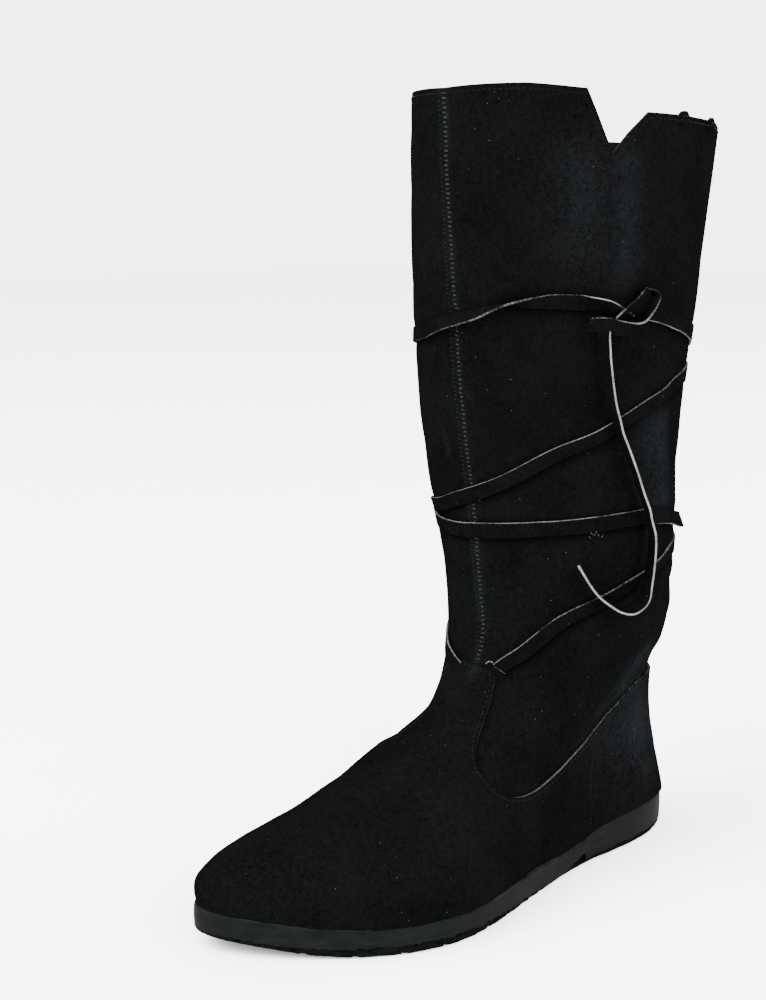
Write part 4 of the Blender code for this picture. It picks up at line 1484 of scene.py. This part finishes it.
# Outer cut edge of the hanging end: share of the way round, ring number, distance off the leather, roll
HANGING_END = (
    (0.1815, 10.675, 4.4, 52.0), (0.1772, 10.642, 5.6, 68.0), (0.1745, 10.604, 7.4, 78.0),
    (0.1735, 10.55, 8.8, 81.0), (0.1737, 10.49, 9.5, 83.0), (0.1743, 10.429, 9.5, 84.0),
    (0.1792, 10.215, 9.5, 86.0), (0.1866, 10.016, 9.7, 90.0), (0.2039, 9.645, 10.0, 98.0),
    (0.2152, 9.384, 10.0, 104.0), (0.2285, 9.047, 10.2, 110.0), (0.2339, 8.719, 10.2, 112.0),
    (0.2318, 8.373, 10.4, 112.0), (0.2330, 8.08, 10.7, 108.0), (0.2305, 7.847, 11.0, 100.0),
    (0.2205, 7.748, 11.0, 92.0), (0.2077, 7.750, 11.0, 90.0), (0.1918, 7.841, 11.0, 90.0),
    (0.1782, 7.971, 10.8, 90.0), (0.1594, 8.196, 10.6, 90.0), (0.1414, 8.554, 10.4, 90.0),
)


@dataclass(frozen=True)
class Lace:
    """Flat lace: two strands wound up the shaft, their knot, a hanging end and a short end."""

    strip: Strip = Strip()
    gap: float = 0.3                 # between strand and leather
    knot_u: float = 0.2085
    knot_v: float = 10.735
    knot_dense: int = 30             # points for each row of a knot part
    strand_dense: int = 45           # points for each row of a strand
    hop_length: float = 8.0
    hop_gap: float = 0.25
    hop_reach: float = 5.0           # strands nearer than this cross each other
    slit_length: float = 3.0         # way over which a strand comes up out of its slit
    slit_lift: float = 0.5
    slit_ease: float = 0.6           # power of that rise, steep at first
    tilt_share: float = 0.85         # how much of its half width a leaning strand stands off the leather
    shade_step: float = 1.5          # points of the line below a strand, along which shadow is painted
    shade_drop: float = 0.6          # its distance from the strand's lower edge
    cord_step: float = 3.0           # points of the hanging end's path

    def knot_route(self, rows: Rows, inset: float) -> Route:
        """Route of a knot part.

        Args:
            rows: Its cut edge along the strand, up and out of the leather, roll in degrees, dye.
            inset: Distance of the strip's middle from its cut edge.

        Returns:
            The route.
        """
        fine = drawn_through(rows, self.knot_dense * len(rows))
        out = FORM.normal(self.knot_u, self.knot_v)
        along = unit(np.cross((0.0, 0.0, 1.0), out))
        axes = np.stack([along, np.cross(out, along), out])
        edge = FORM.lifted(self.knot_u, self.knot_v, 0.0) + fine[:, :3] @ axes
        facing = turned(edge, np.repeat(out[None], len(edge), 0), fine[:, 3])
        return Route(beside_edge(edge, facing, inset), facing, fine[:, 4])

    def strand_route(self, strand: Strand, over: Optional[Route] = None) -> Route:
        """Route of a wound strand.

        Args:
            strand: The strand.
            over: Route of a strand that this one passes over.

        Returns:
            The route.
        """
        u, v = drawn_through(strand.path, self.strand_dense * len(strand.path)).T
        lean = strand.along(strand.lean, u)
        tilt = strand.width / 2 * np.abs(np.sin(np.radians(lean))) * self.tilt_share
        lift = self.gap + self.strip.thick / 2 + tilt + strand.along(strand.rise, u)
        flat = FORM.surface(u, v)
        out = np.minimum(run_length(flat) / self.slit_length, 1.0) ** self.slit_ease
        lift = self.slit_lift + (lift - self.slit_lift) * out
        if over is not None:
            lift = lift + self.hops(flat, over)
        points = FORM.lifted(u, v, lift)
        normal = FORM.normal(u, v)
        side = np.cross(unit(np.gradient(points, axis=0)), normal)
        facing = turned(points, normal, -lean * np.sign(side[:, 2]))
        return Route(points, facing, strand.along(strand.dye, u), (1, 0), strand.width)

    def hops(self, flat: np.ndarray, over: Route) -> np.ndarray:
        """Extra lift where a strand passes over another one.

        Args:
            flat: Points of the strand on the leather.
            over: Route of the lower strand.

        Returns:
            One distance for each point.
        """
        gap = np.array([np.min(np.linalg.norm(over.points - p, axis=1)) for p in flat])
        length = run_length(flat)
        extra = np.zeros(len(flat))
        middle = gap[1:-1]
        crossings = np.where((middle < gap[:-2]) & (middle <= gap[2:]) & (middle < self.hop_reach))[0] + 1
        for i in crossings:
            bump = (self.strip.thick + self.hop_gap) * np.exp(-((length - length[i]) / self.hop_length) ** 2)
            extra = np.maximum(extra, bump)
        return extra

    def add_strips(self, name: str, routes: Sequence[Route], edge: Finish) -> bpy.types.Object:
        """Add one piece of strips.

        Args:
            name: Name of the piece.
            routes: Paths of the strips.
            edge: Finish of their cut edges.

        Returns:
            The piece.
        """
        points, faces, finish, dye, count = [], [], [], [], 0
        for route in routes:
            some, quads, kinds, soaked = self.strip.mesh(route)
            points.append(some)
            dye.append(soaked)
            faces += [[corner + count for corner in face] for face in quads]
            finish += kinds
            count += len(some)
        return add_piece(name, np.concatenate(points), faces, (LACE_SUEDE, edge), finish,
                         {DYE: np.concatenate(dye)})

    def lower_edge(self, route: Route) -> np.ndarray:
        """Line just below a strand's lower edge, along which shadow is painted on the upper.

        Args:
            route: Path of the strand.

        Returns:
            Points along the line.
        """
        points, facing = even(route.points, self.shade_step, route.facing)
        side = np.cross(unit(np.gradient(points, axis=0)), facing)
        down = side * -np.sign(side[:, 2:])
        return points + down * (route.width / 2 + self.shade_drop)

    def build_ends(self) -> None:
        """Build the hanging end, which is a free cord, and the short end tied in the knot."""
        route = leather_route(HANGING_END, self.strip.width / 2, (0, 1))
        piece = dress_as(self.add_strips("hanging_end", [route], CUT_EDGE), Slot.LACE, "lace_hanging_end")
        short = self.knot_route(SHORT_END, -self.strip.width / 2)
        dress_as(self.add_strips("short_end", [short], LACE_EDGE), Slot.LACE, "lace_short_end")

    def build_windings(self) -> list[np.ndarray]:
        """Build the wound strands and the knot.

        Returns:
            Lines just below the strands, along which shadow is painted on the upper.
        """
        first = self.strand_route(FIRST_STRAND)
        second = self.strand_route(SECOND_STRAND, first)
        dress_as(self.add_strips("wound_lace", [first, second], LACE_EDGE), Slot.LACE, "lace_wraps")
        core = self.knot_route(CORE, self.strip.width / 2)
        dress_as(self.add_strips("tied_knot", [core], LACE_EDGE), Slot.LACE, "lace_knot")
        return [self.lower_edge(first), self.lower_edge(second)]


# ---------------------------------------------------------------- studio


@dataclass(frozen=True)
class SoftLight:
    """Square soft box aimed at a point, in metres."""

    name: str
    place: tuple
    aim: tuple
    size: float
    watts: float

    def add(self) -> None:
        """Add the light."""
        lamp = bpy.data.lights.new(self.name, "AREA")
        lamp.shape = "SQUARE"
        lamp.size = self.size
        lamp.energy = self.watts
        made = bpy.data.objects.new(self.name, lamp)
        made.location = self.place
        made.rotation_euler = (Vector(self.aim) - Vector(self.place)).to_track_quat("-Z", "Y").to_euler()
        bpy.context.scene.collection.objects.link(made)


@dataclass(frozen=True)
class Studio:
    """Pale floor, soft light and the camera."""

    camera_place: tuple = (552.0, -668.4, 329.8)
    heading: float = 47.0
    pitch: float = 10.7
    lens: float = 62.99
    sensor: float = 36.0
    floor_size: float = 8.0          # metres
    floor_drop: float = 0.2          # below the sole, so that the two don't share a plane
    sky: str = "#ffffff"
    sky_strength: float = 5.0
    lights: tuple = (
        SoftLight("key_box", (-0.5, -1.6, 1.9), (0.0, -0.08, 0.16), 1.6, 230.0),
        SoftLight("side_box", (1.9, -0.5, 1.3), (0.0, -0.06, 0.16), 1.4, 90.0),
        SoftLight("back_box", (0.5, 1.9, 1.7), (0.0, -0.05, 0.2), 1.5, 90.0),
    )

    def set_camera(self) -> None:
        """Place the camera at the photograph's angle."""
        turn, dip = math.radians(self.heading), math.radians(self.pitch)
        ahead = Vector((-math.sin(turn) * math.cos(dip), math.cos(turn) * math.cos(dip), -math.sin(dip)))
        right = Vector((math.cos(turn), math.sin(turn), 0.0))
        up = right.cross(ahead)
        lens = bpy.data.cameras.new("camera")
        lens.lens = self.lens
        lens.sensor_width = self.sensor
        lens.sensor_fit = "AUTO"
        lens.clip_start = 0.01
        camera = bpy.data.objects.new("camera", lens)
        camera.matrix_world = Matrix.LocRotScale(
            Vector(self.camera_place) * MM, Matrix((right, up, -ahead)).transposed(), None)
        bpy.context.scene.collection.objects.link(camera)
        bpy.context.scene.camera = camera

    def build(self) -> None:
        """Build the floor and the lights."""
        half, low = self.floor_size / 2 / MM, -self.floor_drop
        corners = np.array([(-half, -half, low), (half, -half, low), (half, half, low), (-half, half, low)])
        floor = add_piece("studio_floor", corners, [(0, 1, 2, 3)], (FLOOR_PAINT,))
        for light in self.lights:
            light.add()
        world = bpy.data.worlds.new("studio_sky")
        world.use_nodes = True
        sky = world.node_tree.nodes["Background"]
        sky.inputs["Color"].default_value = linear(self.sky)
        sky.inputs["Strength"].default_value = self.sky_strength
        bpy.context.scene.world = world


def main() -> None:
    """Build the studio, the lace's ends and every piece of the boot."""
    logging.basicConfig(level=logging.INFO, format="%(name)s %(message)s")
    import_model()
    studio = Studio()
    studio.set_camera()
    lace = Lace()
    lace.build_ends()
    shadow_lines = lace.build_windings()
    Upper().build(shadow_lines)
    Overlay("vamp_suede", "vamp", -SIDE_SEAM, SIDE_SEAM, 270).build()
    Overlay("counter_suede", "counter", SIDE_SEAM, 1 - SIDE_SEAM, 150).build()
    Stitching().build()
    Outsole().build()
    Insole().dress()
    studio.build()


if __name__ == "__main__":
    main()
